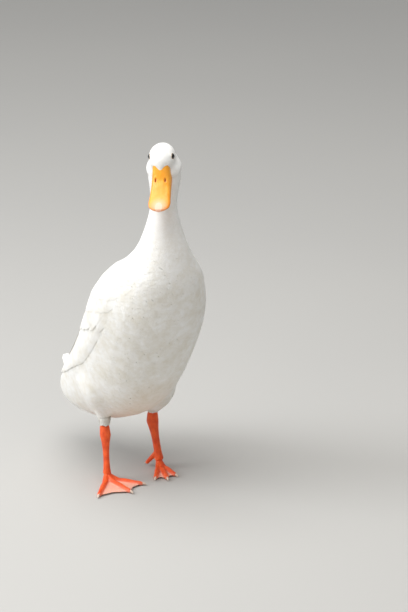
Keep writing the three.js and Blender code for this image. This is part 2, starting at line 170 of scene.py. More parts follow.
def node_copy(shape, node, grow=0.0):
    """Adds a merged copy of a node's solid to a bmesh, grown outwards a little."""
    part = bmesh.new()
    part.from_mesh(bpy.data.objects[node].data)
    bmesh.ops.remove_doubles(part, verts=part.verts, dist=0.0005 * MM)
    part.normal_update()
    for vert in part.verts:
        vert.co += vert.normal * grow
    join(shape, part)


def add_node(tree, kind, inputs=None, **settings):
    """Adds a node with its settings, and sets or links each input by name or number."""
    node = tree.nodes.new("ShaderNode" + kind)
    for name, value in settings.items():
        setattr(node, name, value)
    for key, value in (inputs or {}).items():
        if isinstance(value, bpy.types.NodeSocket):
            tree.links.new(value, node.inputs[key])
        else:
            node.inputs[key].default_value = value
    return node


# ---------------------------------------------------------------- the head's own frame

HEAD_TURN = (
    Matrix.Rotation(math.radians(-37), 3, "Z")
    @ Matrix.Rotation(math.radians(38), 3, "X")
    @ Matrix.Rotation(math.radians(-5), 3, "Y")
)
EYE = Vector((13.8, -3.8, 8.2))  # the left eye in the head's frame, where the bill points along -Y
EYE_RADIUS = 4.6
EYES_MIDDLE = (box_middle("eye_right") + box_middle("eye_left")) / 2
HEAD_AT = EYES_MIDDLE - HEAD_TURN @ Vector((0, EYE.y, EYE.z)) * MM


def from_head(points):
    """Points in the head's frame, in millimetres, as places in metres."""
    return np.asarray(points, float) * MM @ np.array(HEAD_TURN).T + np.array(HEAD_AT)


def to_head(places):
    """Places in metres as points in the head's frame, in millimetres."""
    return (np.asarray(places, float) - np.array(HEAD_AT)) @ np.array(HEAD_TURN) / MM


# Rounded masses of the skull: the middle and half sizes of each, melted into one another.
SKULL_FORMS = {
    "cranium": ((0, -1, 3), (18.1, 21.3, 15.6)),
    "nape": ((0, 5, -12), (17, 17.5, 18)),
    "forehead": ((0, -14.5, -3), (6.8, 14.2, 9.4)),
    "jaw": ((0, -6, -15), (24.4, 21.5, 16.5)),
    "throat": ((0, -10, -23), (18, 16.5, 14)),
}
SKULL_BLEND = 2.8


def skull_reach(directions):
    """How far the skull's surface is from the head's middle along each direction."""
    total = 0.0
    for middle, half in SKULL_FORMS.values():
        ray = directions / np.array(half, float)
        start = np.array(middle, float) / half
        square, across = (ray * ray).sum(-1), ray @ start
        inside = np.maximum(across**2 - square * (start @ start - 1), 0)
        total = total + np.exp((across + np.sqrt(inside)) / square / SKULL_BLEND)
    return SKULL_BLEND * np.log(total)


# ---------------------------------------------------------------- the plumage's outside

PLUMED_NODES = ["head", "neck_upper", "neck_lower", "trunk"] + [
    f"{part}_{side}" for part in ("wing", "thigh") for side in SIDES
]
FORM_VOXEL = 1.75 * MM
FORM_GROW = 0.3 * MM
TAIL_CORE_END = 138 * MM  # the tail's solid core stops here, inside its feathers


def tail_core(shape):
    """The thick root of the tail, cut off square and closed."""
    core = bmesh.new()
    node_copy(core, "tail", FORM_GROW)
    whole = core.verts[:] + core.edges[:] + core.faces[:]
    cut = bmesh.ops.bisect_plane(
        core, geom=whole, dist=1e-7, plane_co=(0, TAIL_CORE_END, 0), plane_no=(0, 1, 0), clear_outer=True
    )
    rim = [edge for edge in cut["geom_cut"] if isinstance(edge, bmesh.types.BMEdge)]
    bmesh.ops.holes_fill(core, edges=rim)
    join(shape, core)


def fine_skull(shape):
    """A smooth skull under the bill and eyes, so both come out of it cleanly."""
    ball = bmesh.ops.create_icosphere(shape, subdivisions=6, radius=1)["verts"]
    directions = unit(np.array([vert.co for vert in ball]))
    places = from_head(directions * skull_reach(directions)[:, None])
    for vert, place in zip(ball, places):
        vert.co = place


EYE_HOLLOW = {"radius": 7.0, "depth": 0.3}
BROW = {"in": 1.8, "ahead": -0.8, "above": 3.4, "radius": 6.5, "rise": 1.5}  # over and in front of each eye


def skull_height(points):
    """How far points of the head's frame stand outside the skull, roughly."""
    return np.linalg.norm(points, axis=-1) - skull_reach(unit(points))


@lru_cache(maxsize=None)
def eye_places():
    """The middle of each eyeball and the way that it looks: straight out of the skull."""
    middles = np.array([[side * EYE.x, EYE.y, EYE.z] for side in SIDES.values()])
    steps = np.eye(3) * 0.5
    looks = [[skull_height(middle + s) - skull_height(middle - s) for s in steps] for middle in middles]
    return from_head(middles), unit(np.array(looks)) @ np.array(HEAD_TURN).T


@lru_cache(maxsize=None)
def lid_places():
    """For each eye its middle, the way out of the plumage, and the radius of the part that shows."""
    form = plumage_form()
    ball = bmesh.new()
    directions = np.array([vert.co for vert in bmesh.ops.create_icosphere(ball, subdivisions=5, radius=1)["verts"]])
    ball.free()
    middles, ways, sizes = eye_places()[0], [], []
    for middle in middles:
        places = middle + directions * EYE_RADIUS * MM
        spot = form.touch(places)
        outward = ((places - form.read(form.points, spot)) * form.read(form.normals, spot)).sum(1) > 0
        ways.append(unit(directions[outward].mean(0)))
        cosine = 1 - 2 * outward.mean()
        sizes.append(EYE_RADIUS * math.sqrt(1 - cosine**2))
    return middles, np.array(ways), sizes


def neighbours(shape):
    """The two ends of every edge as an array."""
    return np.array([[edge.verts[0].index, edge.verts[1].index] for edge in shape.edges])


def averaged(values, edges, rounds, share=0.5):
    """Values at points, each moved towards the mean of its neighbours a number of times."""
    count = np.bincount(edges.ravel(), minlength=len(values))[:, None]
    flat = values.reshape(len(values), -1).astype(float)
    for _ in range(rounds):
        total = np.zeros_like(flat)
        for axis in range(flat.shape[1]):
            total[:, axis] = np.bincount(edges[:, 0], flat[edges[:, 1], axis], len(flat))
            total[:, axis] += np.bincount(edges[:, 1], flat[edges[:, 0], axis], len(flat))
        moved = (total / np.maximum(count, 1) - flat) * np.broadcast_to(
            np.asarray(share, float).reshape(-1, 1), flat.shape
        )
        flat = flat + moved
    return flat.reshape(values.shape)


class Surface:
    """A surface of triangles with values at its points, for feathers to lie on."""

    def __init__(self, shape):
        bmesh.ops.triangulate(shape, faces=shape.faces)
        shape.verts.index_update()
        shape.normal_update()
        self.tree = BVHTree.FromBMesh(shape)
        self.points = np.array([vert.co for vert in shape.verts])
        self.normals = np.array([vert.normal for vert in shape.verts])
        self.faces = np.array([[vert.index for vert in face.verts] for face in shape.faces])
        self.edges = neighbours(shape)
        self.values = {}

    def touch(self, places):
        """For each place, the nearest triangle's corners and the share of each of them."""
        find = self.tree.find_nearest
        hits = np.fromiter((find(place)[2] for place in places.tolist()), int, len(places))
        return self.shares(places, hits)

    def shares(self, places, hits):
        """The corners of each hit triangle, and the share of each of them at its place."""
        corners = self.faces[hits]
        a, b, c = (self.points[corners[:, i]] for i in range(3))
        u, v, w = b - a, c - a, places - a
        uu, uv, vv = (u * u).sum(1), (u * v).sum(1), (v * v).sum(1)
        wu, wv = (w * u).sum(1), (w * v).sum(1)
        whole = np.maximum(uu * vv - uv * uv, 1e-30)
        second, third = (vv * wu - uv * wv) / whole, (uu * wv - uv * wu) / whole
        shares = np.clip(np.stack([1 - second - third, second, third], 1), 0, 1)
        return corners, shares / shares.sum(1, keepdims=True)

    def read(self, values, spot):
        """Values at spots that touch or shares gave."""
        corners, shares = spot
        picked = values[corners]
        return (picked * shares.reshape(*shares.shape, *[1] * (picked.ndim - 2))).sum(1)


@lru_cache(maxsize=None)
def plumage_form():
    """The outside of the plumage, with no bill and no legs, as one closed surface."""
    shape = bmesh.new()
    for node in PLUMED_NODES:
        node_copy(shape, node, FORM_GROW)
    tail_core(shape)
    fine_skull(shape)
    shape = closed_again(shape, FORM_VOXEL)
    shape.verts.ensure_lookup_table()
    shape.verts.index_update()
    points = np.array([vert.co for vert in shape.verts])
    edges = neighbours(shape)
    points, near = softened(points, edges)
    middles, looks = eye_places()
    for middle, look in zip(middles, looks):
        away = np.linalg.norm(points - (middle + look * EYE_RADIUS * MM), axis=1) / MM
        sink = np.clip(1 - (away / EYE_HOLLOW["radius"]) ** 2, 0, 1) ** 2
        points -= look * (sink * EYE_HOLLOW["depth"] * MM)[:, None]
        inward = -BROW["in"] * np.sign(to_head(middle)[0])
        brow = middle + look * EYE_RADIUS * MM + np.array(HEAD_TURN) @ (inward, BROW["ahead"], BROW["above"]) * MM
        away = np.linalg.norm(points - brow, axis=1) / MM
        rise = np.clip(1 - (away / BROW["radius"]) ** 2, 0, 1) ** 2
        points += look * (rise * BROW["rise"] * MM)[:, None]
    for vert, place in zip(shape.verts, points):
        vert.co = place
    form = Surface(shape)
    shape.free()
    form.near = near
    return form


def distance_to(points, nodes):
    """How far each point is from the nearest of some nodes' surfaces, in millimetres."""
    shape = bmesh.new()
    for node in nodes:
        node_copy(shape, node)
    tree = BVHTree.FromBMesh(shape)
    shape.free()
    return np.array([tree.find_nearest(place)[3] for place in points.tolist()]) / MM


def softened(points, edges):
    """Smooths the form: least round the bill and hocks, most where plumage masses meet."""
    heads = to_head(points)
    high = points[:, 2] / MM
    on_head = 1 - step(26, 40, np.linalg.norm(heads - np.array((0, -4, -8)), axis=1))
    on_neck = step(330, 380, high)
    at_hock = 1 - step(96, 125, high)
    at_tail = step(112, 128, points[:, 1] / MM)
    share = 0.5 * (1 - 0.78 * on_neck) * (1 - on_head) * (1 - at_hock * (1 - at_tail)) * (1 - 0.95 * at_tail)
    near = {node: distance_to(points, [node]) for node in PLUMED_NODES}
    nape = np.maximum(near["neck_upper"], near["head"])
    share = np.maximum(share, 0.5 * (1 - step(5, 17, nape)) * (heads[:, 1] > -13))
    points = averaged(points, edges, 3, 0.5 - 0.25 * on_head * (heads[:, 1] < -12))
    points = averaged(points, edges, FORM_SMOOTHING, share)
    return points, near


FORM_SMOOTHING = 64


# ---------------------------------------------------------------- the lie of the feathers

# The body's rows from the vent to the top of the neck: the middle's Y and Z, the half width, and
# the half depths on the back and on the belly.
BODY_ROWS = [
    (136.4, 92, 14, 8, 10),
    (127.4, 98, 35, 15, 27),
    (107.4, 110, 51, 21, 45),
    (79.4, 128, 63, 29, 63),
    (41.4, 156, 70, 38, 83),
    (-0.6, 196, 75, 49, 98),
    (-40.6, 244, 79, 59, 91),
    (-76.6, 296, 80, 63, 77),
    (-102.6, 340, 63, 47, 56),
    (-111.6, 374, 39.5, 34, 39),
    (-114.1, 406, 26, 27, 27),
    (-114.6, 438, 17.8, 20, 18.5),
    (-116.1, 462, 19, 20, 19.5),
    (-118.1, 482, 22.5, 22.5, 20.5),
    (-120.1, 500, 22, 22.5, 17.5),
]
HEAD_LINE = [(0, -24, -8), (0, -9, -2), (0, 4, -3)]  # in the head's frame
TAIL_LINE = [(0, 131, 97), (0, 150, 90), (0, 170, 87)]
HOCKS = {"right": (-40.5, -9, 78), "left": (46, 5, 76)}


def body_row(run):
    """The body's row at a share of the way from the vent to the neck's top."""
    runs = np.linspace(0, 1, len(BODY_ROWS))
    return rows_at(np.column_stack([runs, BODY_ROWS]), run)


def body_point(run, angle, proud=0.0):
    """A place near the body's surface: angle in degrees up from the side, on the left."""
    row, behind, ahead = body_row(run), body_row(run - 0.01), body_row(run + 0.01)
    along = unit((ahead - behind)[..., :2])
    turn = np.radians(angle)
    deep = np.where(np.sin(turn) > 0, row[..., 3], row[..., 4]) + proud
    up = np.sin(turn) * deep
    x = np.cos(turn) * (row[..., 2] + proud)
    return np.stack([x, row[..., 0] + along[..., 1] * up, row[..., 1] - along[..., 0] * up], -1) * MM


@lru_cache(maxsize=None)
def spine():
    """Places along the middle of head, neck, body and tail, their way along, and their dorsal side."""
    head = from_head(HEAD_LINE) / MM
    body = [(0, row[0], row[1]) for row in BODY_ROWS[-2:0:-1]]
    corners = np.array([*head, *body, *TAIL_LINE])
    reach = np.r_[0, np.cumsum(np.linalg.norm(np.diff(corners, axis=0), axis=1))]
    way = np.arange(0, reach[-1], 2.5)
    places = rows_at(np.column_stack([reach, corners]), way)
    along = unit(np.gradient(places, axis=0))
    dorsal = np.stack([0 * way, -along[:, 2], along[:, 1]], 1)
    crown = np.array(HEAD_TURN) @ (0, 0, 1)
    blend = step(reach[2] - 12, reach[2] + 24, way)[:, None]
    dorsal = unit(crown * (1 - blend) + dorsal * blend)
    return places * MM, along, dorsal, way


# Feather sizes by the way along the spine, in millimetres: the gap between tips, and the plumage's depth.
GAP_ROWS = [(0, 0.8, 0.6), (18, 0.95, 0.9), (45, 1.2, 1.3), (95, 1.5, 1.9), (128, 1.9, 2.4), (150, 2.5, 2.8),
            (210, 3.4, 3.6), (270, 3.9, 4.4), (380, 4.3, 5.0), (470, 4.3, 4.2), (560, 4.0, 3.0)]


@lru_cache(maxsize=None)
def feathered_form():
    """The form with the lie, size and depth of the feathers at every point."""
    form = plumage_form()
    places, along, dorsal, way = spine()
    away = ((form.points[:, None] - places[None]) ** 2).sum(2) / MM**2
    weight = 1 / (away + 25) ** 3
    weight /= weight.sum(1, keepdims=True)
    form.values["way"] = weight @ way
    form.values["run"] = run_of(form.values["way"])
    middle, run, up = weight @ places, unit(weight @ along), weight @ dorsal
    out = form.points - middle
    side = np.cross(up, run)
    form.values["turn"] = np.arctan2((out * unit(side)).sum(1), (out * unit(up)).sum(1))
    form.values["high"] = (unit(out - run * (out * run).sum(1, keepdims=True)) * unit(up)).sum(1)
    flow = thigh_lie(form, run)
    flow = wing_lie(form, flow)
    flow -= form.normals * (flow * form.normals).sum(1, keepdims=True)
    flow = averaged(unit(flow), form.edges, 24)
    flow -= form.normals * (flow * form.normals).sum(1, keepdims=True)
    form.values["flow"] = unit(flow)
    set_sizes(form)
    return form


def run_of(ways):
    """The share of the way along the body's rows that a way along the spine comes to."""
    places, _, _, way = spine()
    rows = np.array([(0, row[0], row[1]) for row in BODY_ROWS])
    nearest = np.linalg.norm(places[None] / MM - rows[:, None], axis=2).argmin(1)
    return np.interp(-ways, -way[nearest], np.linspace(0, 1, len(rows)))


def thigh_lie(form, flow):
    """Feathers of the thighs run down to the hocks."""
    for side, hock in HOCKS.items():
        down = unit(np.array(hock) * MM - np.array((0, 0, 18)) * MM - form.points)
        share = (1 - step(3, 12, form.near[f"thigh_{side}"])) * (1 - step(110, 165, form.points[:, 2] / MM))
        share = np.maximum(share, (1 - step(20, 34, np.linalg.norm(form.points / MM - hock, axis=1))))
        flow = flow * (1 - share[:, None]) + down * share[:, None]
    return flow


def wing_share(form):
    """1 on the wings, falling to 0 beside them."""
    away = np.minimum(form.near["wing_right"], form.near["wing_left"])
    return 1 - step(0.8, 4, away)


def wing_lie(form, flow):
    """On the wings the feathers run along the folded wing, a little flatter than the back."""
    share = wing_share(form)[:, None] * 0.7
    along = np.stack([-0.14 * np.sign(form.points[:, 0]), np.full(len(flow), 0.72), np.full(len(flow), -0.66)], 1)
    return unit(flow) * (1 - share) + unit(along) * share


def set_sizes(form):
    """The gap between feather tips and the plumage's depth at every point, in millimetres."""
    gap, depth = rows_at(GAP_ROWS, form.values["way"]).T
    wings = wing_share(form)
    trunk = step(215, 260, form.values["way"])
    back = step(0.1, 0.7, form.values["high"]) * trunk
    gap = gap * (1 + 0.35 * back * (1 - wings) + 0.3 * wings)
    depth = depth * (1 - 0.35 * wings)
    legs = 1 - step(86, 135, form.points[:, 2] / MM)
    at_thigh = 1 - step(4, 14, np.minimum(form.near["thigh_right"], form.near["thigh_left"]))
    gap = gap * (1 - 0.5 * at_thigh * legs)
    depth = depth * (1 - 0.7 * at_thigh * legs)
    middles, looks = eye_places()
    for middle, look in zip(middles, looks):
        away = np.linalg.norm(form.points - (middle + look * EYE_RADIUS * MM), axis=1) / MM
        close = 1 - step(3.5, 10, away)
        gap = gap * (1 - 0.35 * close)
        depth = depth * (1 - 0.7 * close)
    ahead = to_head(form.points)[:, 1]
    at_bill = (1 - step(-22, -12, ahead)) * (form.values["way"] < 60)
    depth = depth * (1 - 0.6 * at_bill)
    close = averaged(in_bill(to_head(form.points), 2.2).astype(float), form.edges, 3)
    form.values["gap"] = gap * (1 - 0.25 * close)
    form.values["depth"] = (depth + 0.45) * (1 - 0.65 * close)
    under = (1 - step(0.53, 0.57, form.values["run"])) * (
        1 - step(0.6, 2.0, np.minimum(form.near["wing_right"], form.near["wing_left"]))
    )
    form.values["sunk"] = 1.6 * averaged(under[:, None], form.edges, 4)[:, 0]


# ---------------------------------------------------------------- vanes


class Vane:
    """The pattern that a kind of feather is cut to: points in rows from its root to its tip."""

    def __init__(self, rows, across, camber, soft):
        """rows: the share of the length, the share of the half width and how far the edges lag."""
        self.soft = soft
        rows = np.array(rows, float)
        u = np.linspace(-1, 1, across)
        self.across, self.rows = across, len(rows)
        self.u = np.tile(u, len(rows))
        self.wide = np.repeat(rows[:, 1], across)
        self.v = np.repeat(rows[:, 0], across) - np.repeat(rows[:, 2], across) * self.u**2
        self.camber = camber
        self.quads, self.caps = self.faces()

    def faces(self):
        """Quads of the top, then of the underside, and one face at each end."""
        n, last = self.across, self.across - 1
        top = [(j * n + i, j * n + i + 1, (j + 1) * n + i + 1, (j + 1) * n + i)
               for j in range(self.rows - 1) for i in range(last)]
        under = [(j * n, (j + 1) * n, (j + 1) * n + last, j * n + last) for j in range(self.rows - 1)]
        end = (self.rows - 1) * n
        caps = [tuple(range(last, -1, -1)), tuple(range(end, end + n))]
        self.top_count = len(top)
        return np.array(top + under), np.array(caps)


class Coat:
    """Feathers of one pattern gathered as arrays, to become one mesh."""

    def __init__(self, vane):
        self.vane, self.parts = vane, []

    def add(self, places, out, plan, tint, bake):
        """places and out: feather, point, xyz. plan: millimetres across and along. bake: the root's spot."""
        self.parts.append((places, self.softened(places, out), plan, tint, bake))

    def softened(self, places, out):
        """Each vane's own normals, turned towards the plumage's, so that the coat looks soft."""
        grid = places.reshape(len(places), self.vane.rows, self.vane.across, 3)
        own = np.cross(np.gradient(grid, axis=2), np.gradient(grid, axis=1)).reshape(places.shape)
        own = unit(own) * np.sign((own * out).sum(-1, keepdims=True))
        return unit(own * (1 - self.vane.soft) + out * self.vane.soft)

    def mesh(self, name):
        """All the feathers as one mesh, with their own maps and tints."""
        places, normals, plan, tint, bake = (np.concatenate(part) for part in zip(*self.parts))
        count, points = places.shape[:2]
        starts = (np.arange(count) * points)[:, None, None]
        quads = (starts + self.vane.quads).reshape(-1, 4)
        caps = (starts + self.vane.caps).reshape(-1, self.vane.across)
        loops = np.concatenate([quads.ravel(), caps.ravel()])
        sizes = np.concatenate([np.full(len(quads), 4), np.full(len(caps), self.vane.across)])
        mesh = bpy.data.meshes.new(name)
        mesh.vertices.add(count * points)
        mesh.vertices.foreach_set("co", places.ravel())
        mesh.loops.add(len(loops))
        mesh.loops.foreach_set("vertex_index", loops)
        mesh.polygons.add(len(sizes))
        mesh.polygons.foreach_set("loop_start", np.r_[0, np.cumsum(sizes)[:-1]])
        mesh.update(calc_edges=True)
        flat = np.ones(len(sizes), bool)
        each = len(self.vane.quads)
        flat[: len(quads)] = np.tile(np.arange(each) >= self.vane.top_count, count)
        mesh.attributes.new("sharp_face", "BOOLEAN", "FACE").data.foreach_set("value", flat)
        mesh.attributes.new("tint", "FLOAT", "POINT").data.foreach_set("value", np.repeat(tint, points))
        spot = np.stack([self.vane.u * 0.5, self.vane.v - 0.5], 1) * BAKE_PATCH
        for map_name, values in (("OFBake", bake[:, None] + spot[None]), ("vane", plan)):
            uv = values.reshape(-1, 2)[loops]
            mesh.uv_layers.new(name=map_name).uv.foreach_set("vector", uv.ravel())
        looks = np.empty(len(sizes) * 3)
        mesh.polygons.foreach_get("normal", looks)
        corners = normals.reshape(-1, 3)[loops]
        looks = np.repeat(looks.reshape(-1, 3), sizes, axis=0)
        firsts = np.repeat(np.r_[0, np.cumsum(sizes)[:-1]], sizes)
        facing = (looks * corners).sum(1)[firsts, None]
        soft = np.where(np.abs(facing) > STEEP, corners * np.sign(facing), looks)
        mesh.normals_split_custom_set(soft.tolist())
        return mesh


BAKE_PATCH = 0.003  # the size of a feather on the baked map, where the whole coat is 1
STEEP = 0.4  # a face whose normal is further than this from the coat's, as a cosine, keeps its own
SMALL_VANE = Vane([(0, 0.5, 0), (0.55, 1, 0), (0.86, 0.78, 0.03), (1, 0.2, 0.05)], 3, 0.014, 0.7)
BODY_VANE = Vane(
    [(0, 0.4, 0), (0.45, 0.9, 0), (0.7, 1, 0.01), (0.85, 0.88, 0.03), (0.95, 0.6, 0.05), (1, 0.26, 0.05)], 5, 0.012, 0.5
)
FLIGHT_VANE = Vane(
    [(0, 0.35, 0), (0.1, 0.7, 0), (0.25, 0.92, 0), (0.42, 1, 0), (0.58, 1, 0), (0.72, 0.98, 0), (0.83, 0.92, 0),
     (0.91, 0.78, 0.005), (0.965, 0.55, 0.015), (1, 0.22, 0.015)], 7, 0.03, 0.5
)


PACKING = 0.775  # the least distance between roots, as a share of the gap
TRIES = 6  # places tried for each square of the gap


def scattered(form, keep, gap_scale, seed):
    """Root places spread evenly over a form, as far apart as its gaps say."""
    rng = np.random.default_rng(seed)
    corners = form.points[form.faces]
    area = np.linalg.norm(np.cross(corners[:, 1] - corners[:, 0], corners[:, 2] - corners[:, 0]), axis=1) / 2
    gap = form.values["gap"][form.faces].mean(1) * gap_scale * MM
    hits = np.repeat(np.arange(len(area)), rng.poisson(area / gap**2 * TRIES * keep[form.faces].mean(1)))
    rng.shuffle(hits)
    a, b = rng.random((2, len(hits)))
    a, b = np.where(a + b > 1, 1 - a, a), np.where(a + b > 1, 1 - b, b)
    shares = np.stack([1 - a - b, a, b], 1)
    places = (form.points[form.faces[hits]] * shares[..., None]).sum(1)
    tree = KDTree(len(places))
    rows = places.tolist()
    for i, place in enumerate(rows):
        tree.insert(place, i)
    tree.balance()
    free = np.ones(len(places), bool)
    reach = gap[hits] * PACKING
    kept = []
    for i, place in enumerate(rows):
        if free[i]:
            kept.append(i)
            for _, j, _ in tree.find_range(place, reach[i]):
                free[j] = False
    return places[kept], (form.faces[hits[kept]], shares[kept])


RAGGED = 0.022  # tips move no further than this share of the length
LOOK = {"slope": 0.34, "plunge": 6, "lift": 0.014, "roll": 0.006}


def lay_coat(form, vane, roots, spot, seed):
    """Feathers from their roots along the lie of the plumage, each on the ones behind it."""
    rng = np.random.default_rng(seed)
    sizes = bpy.context.scene.duck_sizes
    count = len(roots)
    draw = lambda spread: rng.normal(0, spread, count)
    gap, depth, way, turn = (form.read(form.values[k], spot) for k in ("gap", "depth", "way", "turn"))
    normal = unit(form.read(form.normals, spot))
    flow = unit(form.read(form.values["flow"], spot))
    side = np.cross(flow, normal)
    veer = draw(sizes.ruffle)[:, None]
    flow = flow * np.cos(veer) + side * np.sin(veer)
    side = np.cross(flow, normal)
    long = gap * sizes.feather_length * np.clip(1 + draw(0.1), 0.75, 1.3)
    wide = gap * sizes.feather_width / 2 * np.clip(1 + draw(0.07), 0.8, 1.2)
    ragged = rng.normal(0, 0.02, (count, len(vane.u))).clip(-RAGGED, RAGGED) * (vane.v > 0.7)
    along = (vane.v[None] + ragged) * long[:, None]
    across = vane.u * vane.wide * wide[:, None] * (1 + rng.normal(0, 0.05, (count, len(vane.u))))
    flat = roots[:, None] + (flow[:, None] * along[..., None] + side[:, None] * across[..., None]) * MM
    touched = form.touch(flat.reshape(-1, 3))
    ground = form.read(form.points, touched).reshape(flat.shape)
    out = unit(form.read(form.normals, touched)).reshape(flat.shape)
    rest = 1 - np.clip(vane.v, 0, 1)
    sink = LOOK["slope"] * gap[:, None] * rest + (depth - LOOK["slope"] * gap)[:, None] * rest ** LOOK["plunge"]
    sink = sink + form.read(form.values["sunk"], touched).reshape(sink.shape)
    lift = draw(LOOK["lift"])[:, None] * gap[:, None] * vane.v**2
    roll = draw(LOOK["roll"])[:, None] * vane.u * wide[:, None]
    height = lift + roll - sink - vane.camber * wide[:, None] * 2 * vane.u**2 * vane.wide**2
    places = ground + out * (height * MM)[..., None]
    plan = np.stack([across, along], -1)
    return places, out, plan, rng.random(count), baked(way, turn)


SPINE_LONG = 560  # millimetres


def baked(way, turn):
    """Where a root lies on the unwrapped skin: round it and along it."""
    return np.stack([0.5 + turn / math.tau * 0.98, 0.01 + 0.98 * np.clip(way / SPINE_LONG, 0, 1)], 1)


# ---------------------------------------------------------------- bill, eyes and claws

MOUTH_Z = -14  # the widest line of both halves of the bill, in the head's frame
# Distance ahead, half width, heights of the top and bottom, and how boxy the section is.
UPPER_BILL = [
    (-4, 11, 9.5, -14.5, 3.8), (-14, 12, 12, -15, 3.8), (-23, 12.8, 5.2, -16, 3.4), (-34, 13.2, -1.8, -16.8, 2.9),
    (-46, 13.6, -5.8, -17.2, 2.6), (-58, 14.2, -9, -17.2, 2.5), (-68, 14.5, -10.6, -17, 2.6),
    (-74, 12, -11.7, -16.8, 2.4), (-77.5, 6, -13, -16.6, 2.2), (-78.6, 2, -14.6, -16.4, 2),
]
LOWER_BILL = [
    (-6, 9.5, -10, -26, 2.5), (-20, 11.2, -10, -25.8, 2.5), (-38, 11.6, -12, -24.4, 2.5), (-56, 12.2, -13, -22.6, 2.5),
    (-68, 11.4, -13, -21.6, 2.4), (-74.5, 6, -13.6, -20.6, 2.2), (-76, 2, -14, -19.6, 2),
]
NAIL = {"start": -56, "at": -73.5, "half": (6.2, 8.2), "proud": 0.22, "under": 1.3}
NOSTRIL = {"at": (6.6, -35.2), "half": (1.35, 2.9), "depth": 1.9, "rim": 0.35}


def full(values, power):
    """A cosine or sine made fuller, for a boxier section."""
    return np.sign(values) * np.abs(values) ** (2 / power)


def in_bill(points, grow):
    """Whether points of the head's frame lie inside either half of the bill."""
    inside = np.zeros(len(points), bool)
    for rows in (UPPER_BILL, LOWER_BILL):
        wide, top, bottom, power = rows_at(rows, points[:, 1]).T
        deep = np.where(points[:, 2] > MOUTH_Z, top - MOUTH_Z, MOUTH_Z - bottom) + grow
        size = (np.abs(points[:, 0]) / (wide + grow)) ** power + (np.abs(points[:, 2] - MOUTH_Z) / deep) ** power
        inside |= (size < 1) & (points[:, 1] < rows[0][0]) & (points[:, 1] > rows[-1][0])
    return inside


def bill_half(rows, relief, around=72):
    """Half of the bill: a ball drawn out along its rows, then given its relief."""
    shape = bmesh.new()
    ball = bmesh.ops.create_uvsphere(shape, u_segments=around, v_segments=96, radius=1)["verts"]
    round_ = np.array([vert.co for vert in ball])
    t = np.arccos(np.clip(round_[:, 2], -1, 1)) / math.pi
    turn = np.arctan2(round_[:, 1], round_[:, 0])
    ahead = rows[0][0] + (rows[-1][0] - rows[0][0]) * np.sin(t * math.pi / 2) ** 1.15
    wide, top, bottom, power = rows_at(rows, ahead).T
    close = np.sqrt(np.clip(1 - (np.abs(t - 0.5) * 2) ** 40, 0, 1))
    rise = full(np.sin(turn), power)
    deep = np.where(rise > 0, top - MOUTH_Z, MOUTH_Z - bottom)
    points = np.stack([full(np.cos(turn), power) * wide * close, ahead, MOUTH_Z + rise * deep * close], 1)
    points = relief(points, rise)
    for vert, place in zip(ball, from_head(points)):
        vert.co = place
    bmesh.ops.recalc_face_normals(shape, faces=shape.faces)
    return shape, points


def upper_relief(points, rise):
    """Nostrils with a rim, a low ridge along the top and the flared lip."""
    x, y, z = points.T.copy()
    on_top = step(0.0, 0.35, rise)
    for side in (-1, 1):
        away = np.hypot((x - side * NOSTRIL["at"][0]) / NOSTRIL["half"][0], (y - NOSTRIL["at"][1]) / NOSTRIL["half"][1])
        z -= on_top * NOSTRIL["depth"] * (1 - step(0.55, 1.1, away))
        z += on_top * NOSTRIL["rim"] * np.exp(-(((away - 1.45) / 0.35) ** 2))
    ridge = np.exp(-((x / 3.2) ** 2)) * step(-62, -40, y)
    z += on_top * 0.45 * ridge
    hollow = np.exp(-(((np.abs(x) - 7.5) / 2.6) ** 2)) * step(-66, -48, y) * (1 - step(-34, -22, y))
    z -= on_top * 0.45 * hollow
    lip = np.exp(-(((z - MOUTH_Z + 0.6) / 1.5) ** 2)) * (1 - step(-24, -12, y))
    x += np.sign(x) * 0.45 * lip * np.clip(np.abs(x) / 8, 0, 1)
    return np.stack([x, y, z], 1)


def lower_relief(points, rise):
    """A shallow channel along the underside."""
    x, y, z = points.T.copy()
    z += 0.9 * np.exp(-((x / 4.5) ** 2)) * step(0.3, 0.8, -rise) * (1 - step(-30, -14, y))
    return np.stack([x, y, z], 1)


def nail_relief(points, rise):
    """Stands proud of the bill inside the nail's outline, and lies under its surface outside it."""
    x, y, z = points.T
    away = np.hypot(x / NAIL["half"][0], (y - NAIL["at"]) / NAIL["half"][1])
    share = (1 - step(0.72, 1.12, away)) * step(-17.4, -16.0, z)
    outward = unit(points - np.stack([x * 0.75, np.full(len(x), NAIL["start"]), np.full(len(x), -17.0)], 1))
    return points + outward * (NAIL["proud"] * share - NAIL["under"] * (1 - share))[:, None]


def point_values(mesh, name, values):
    """Gives a mesh a number at each point, for its material."""
    mesh.attributes.new(name, "FLOAT", "POINT").data.foreach_set("value", np.asarray(values, float))


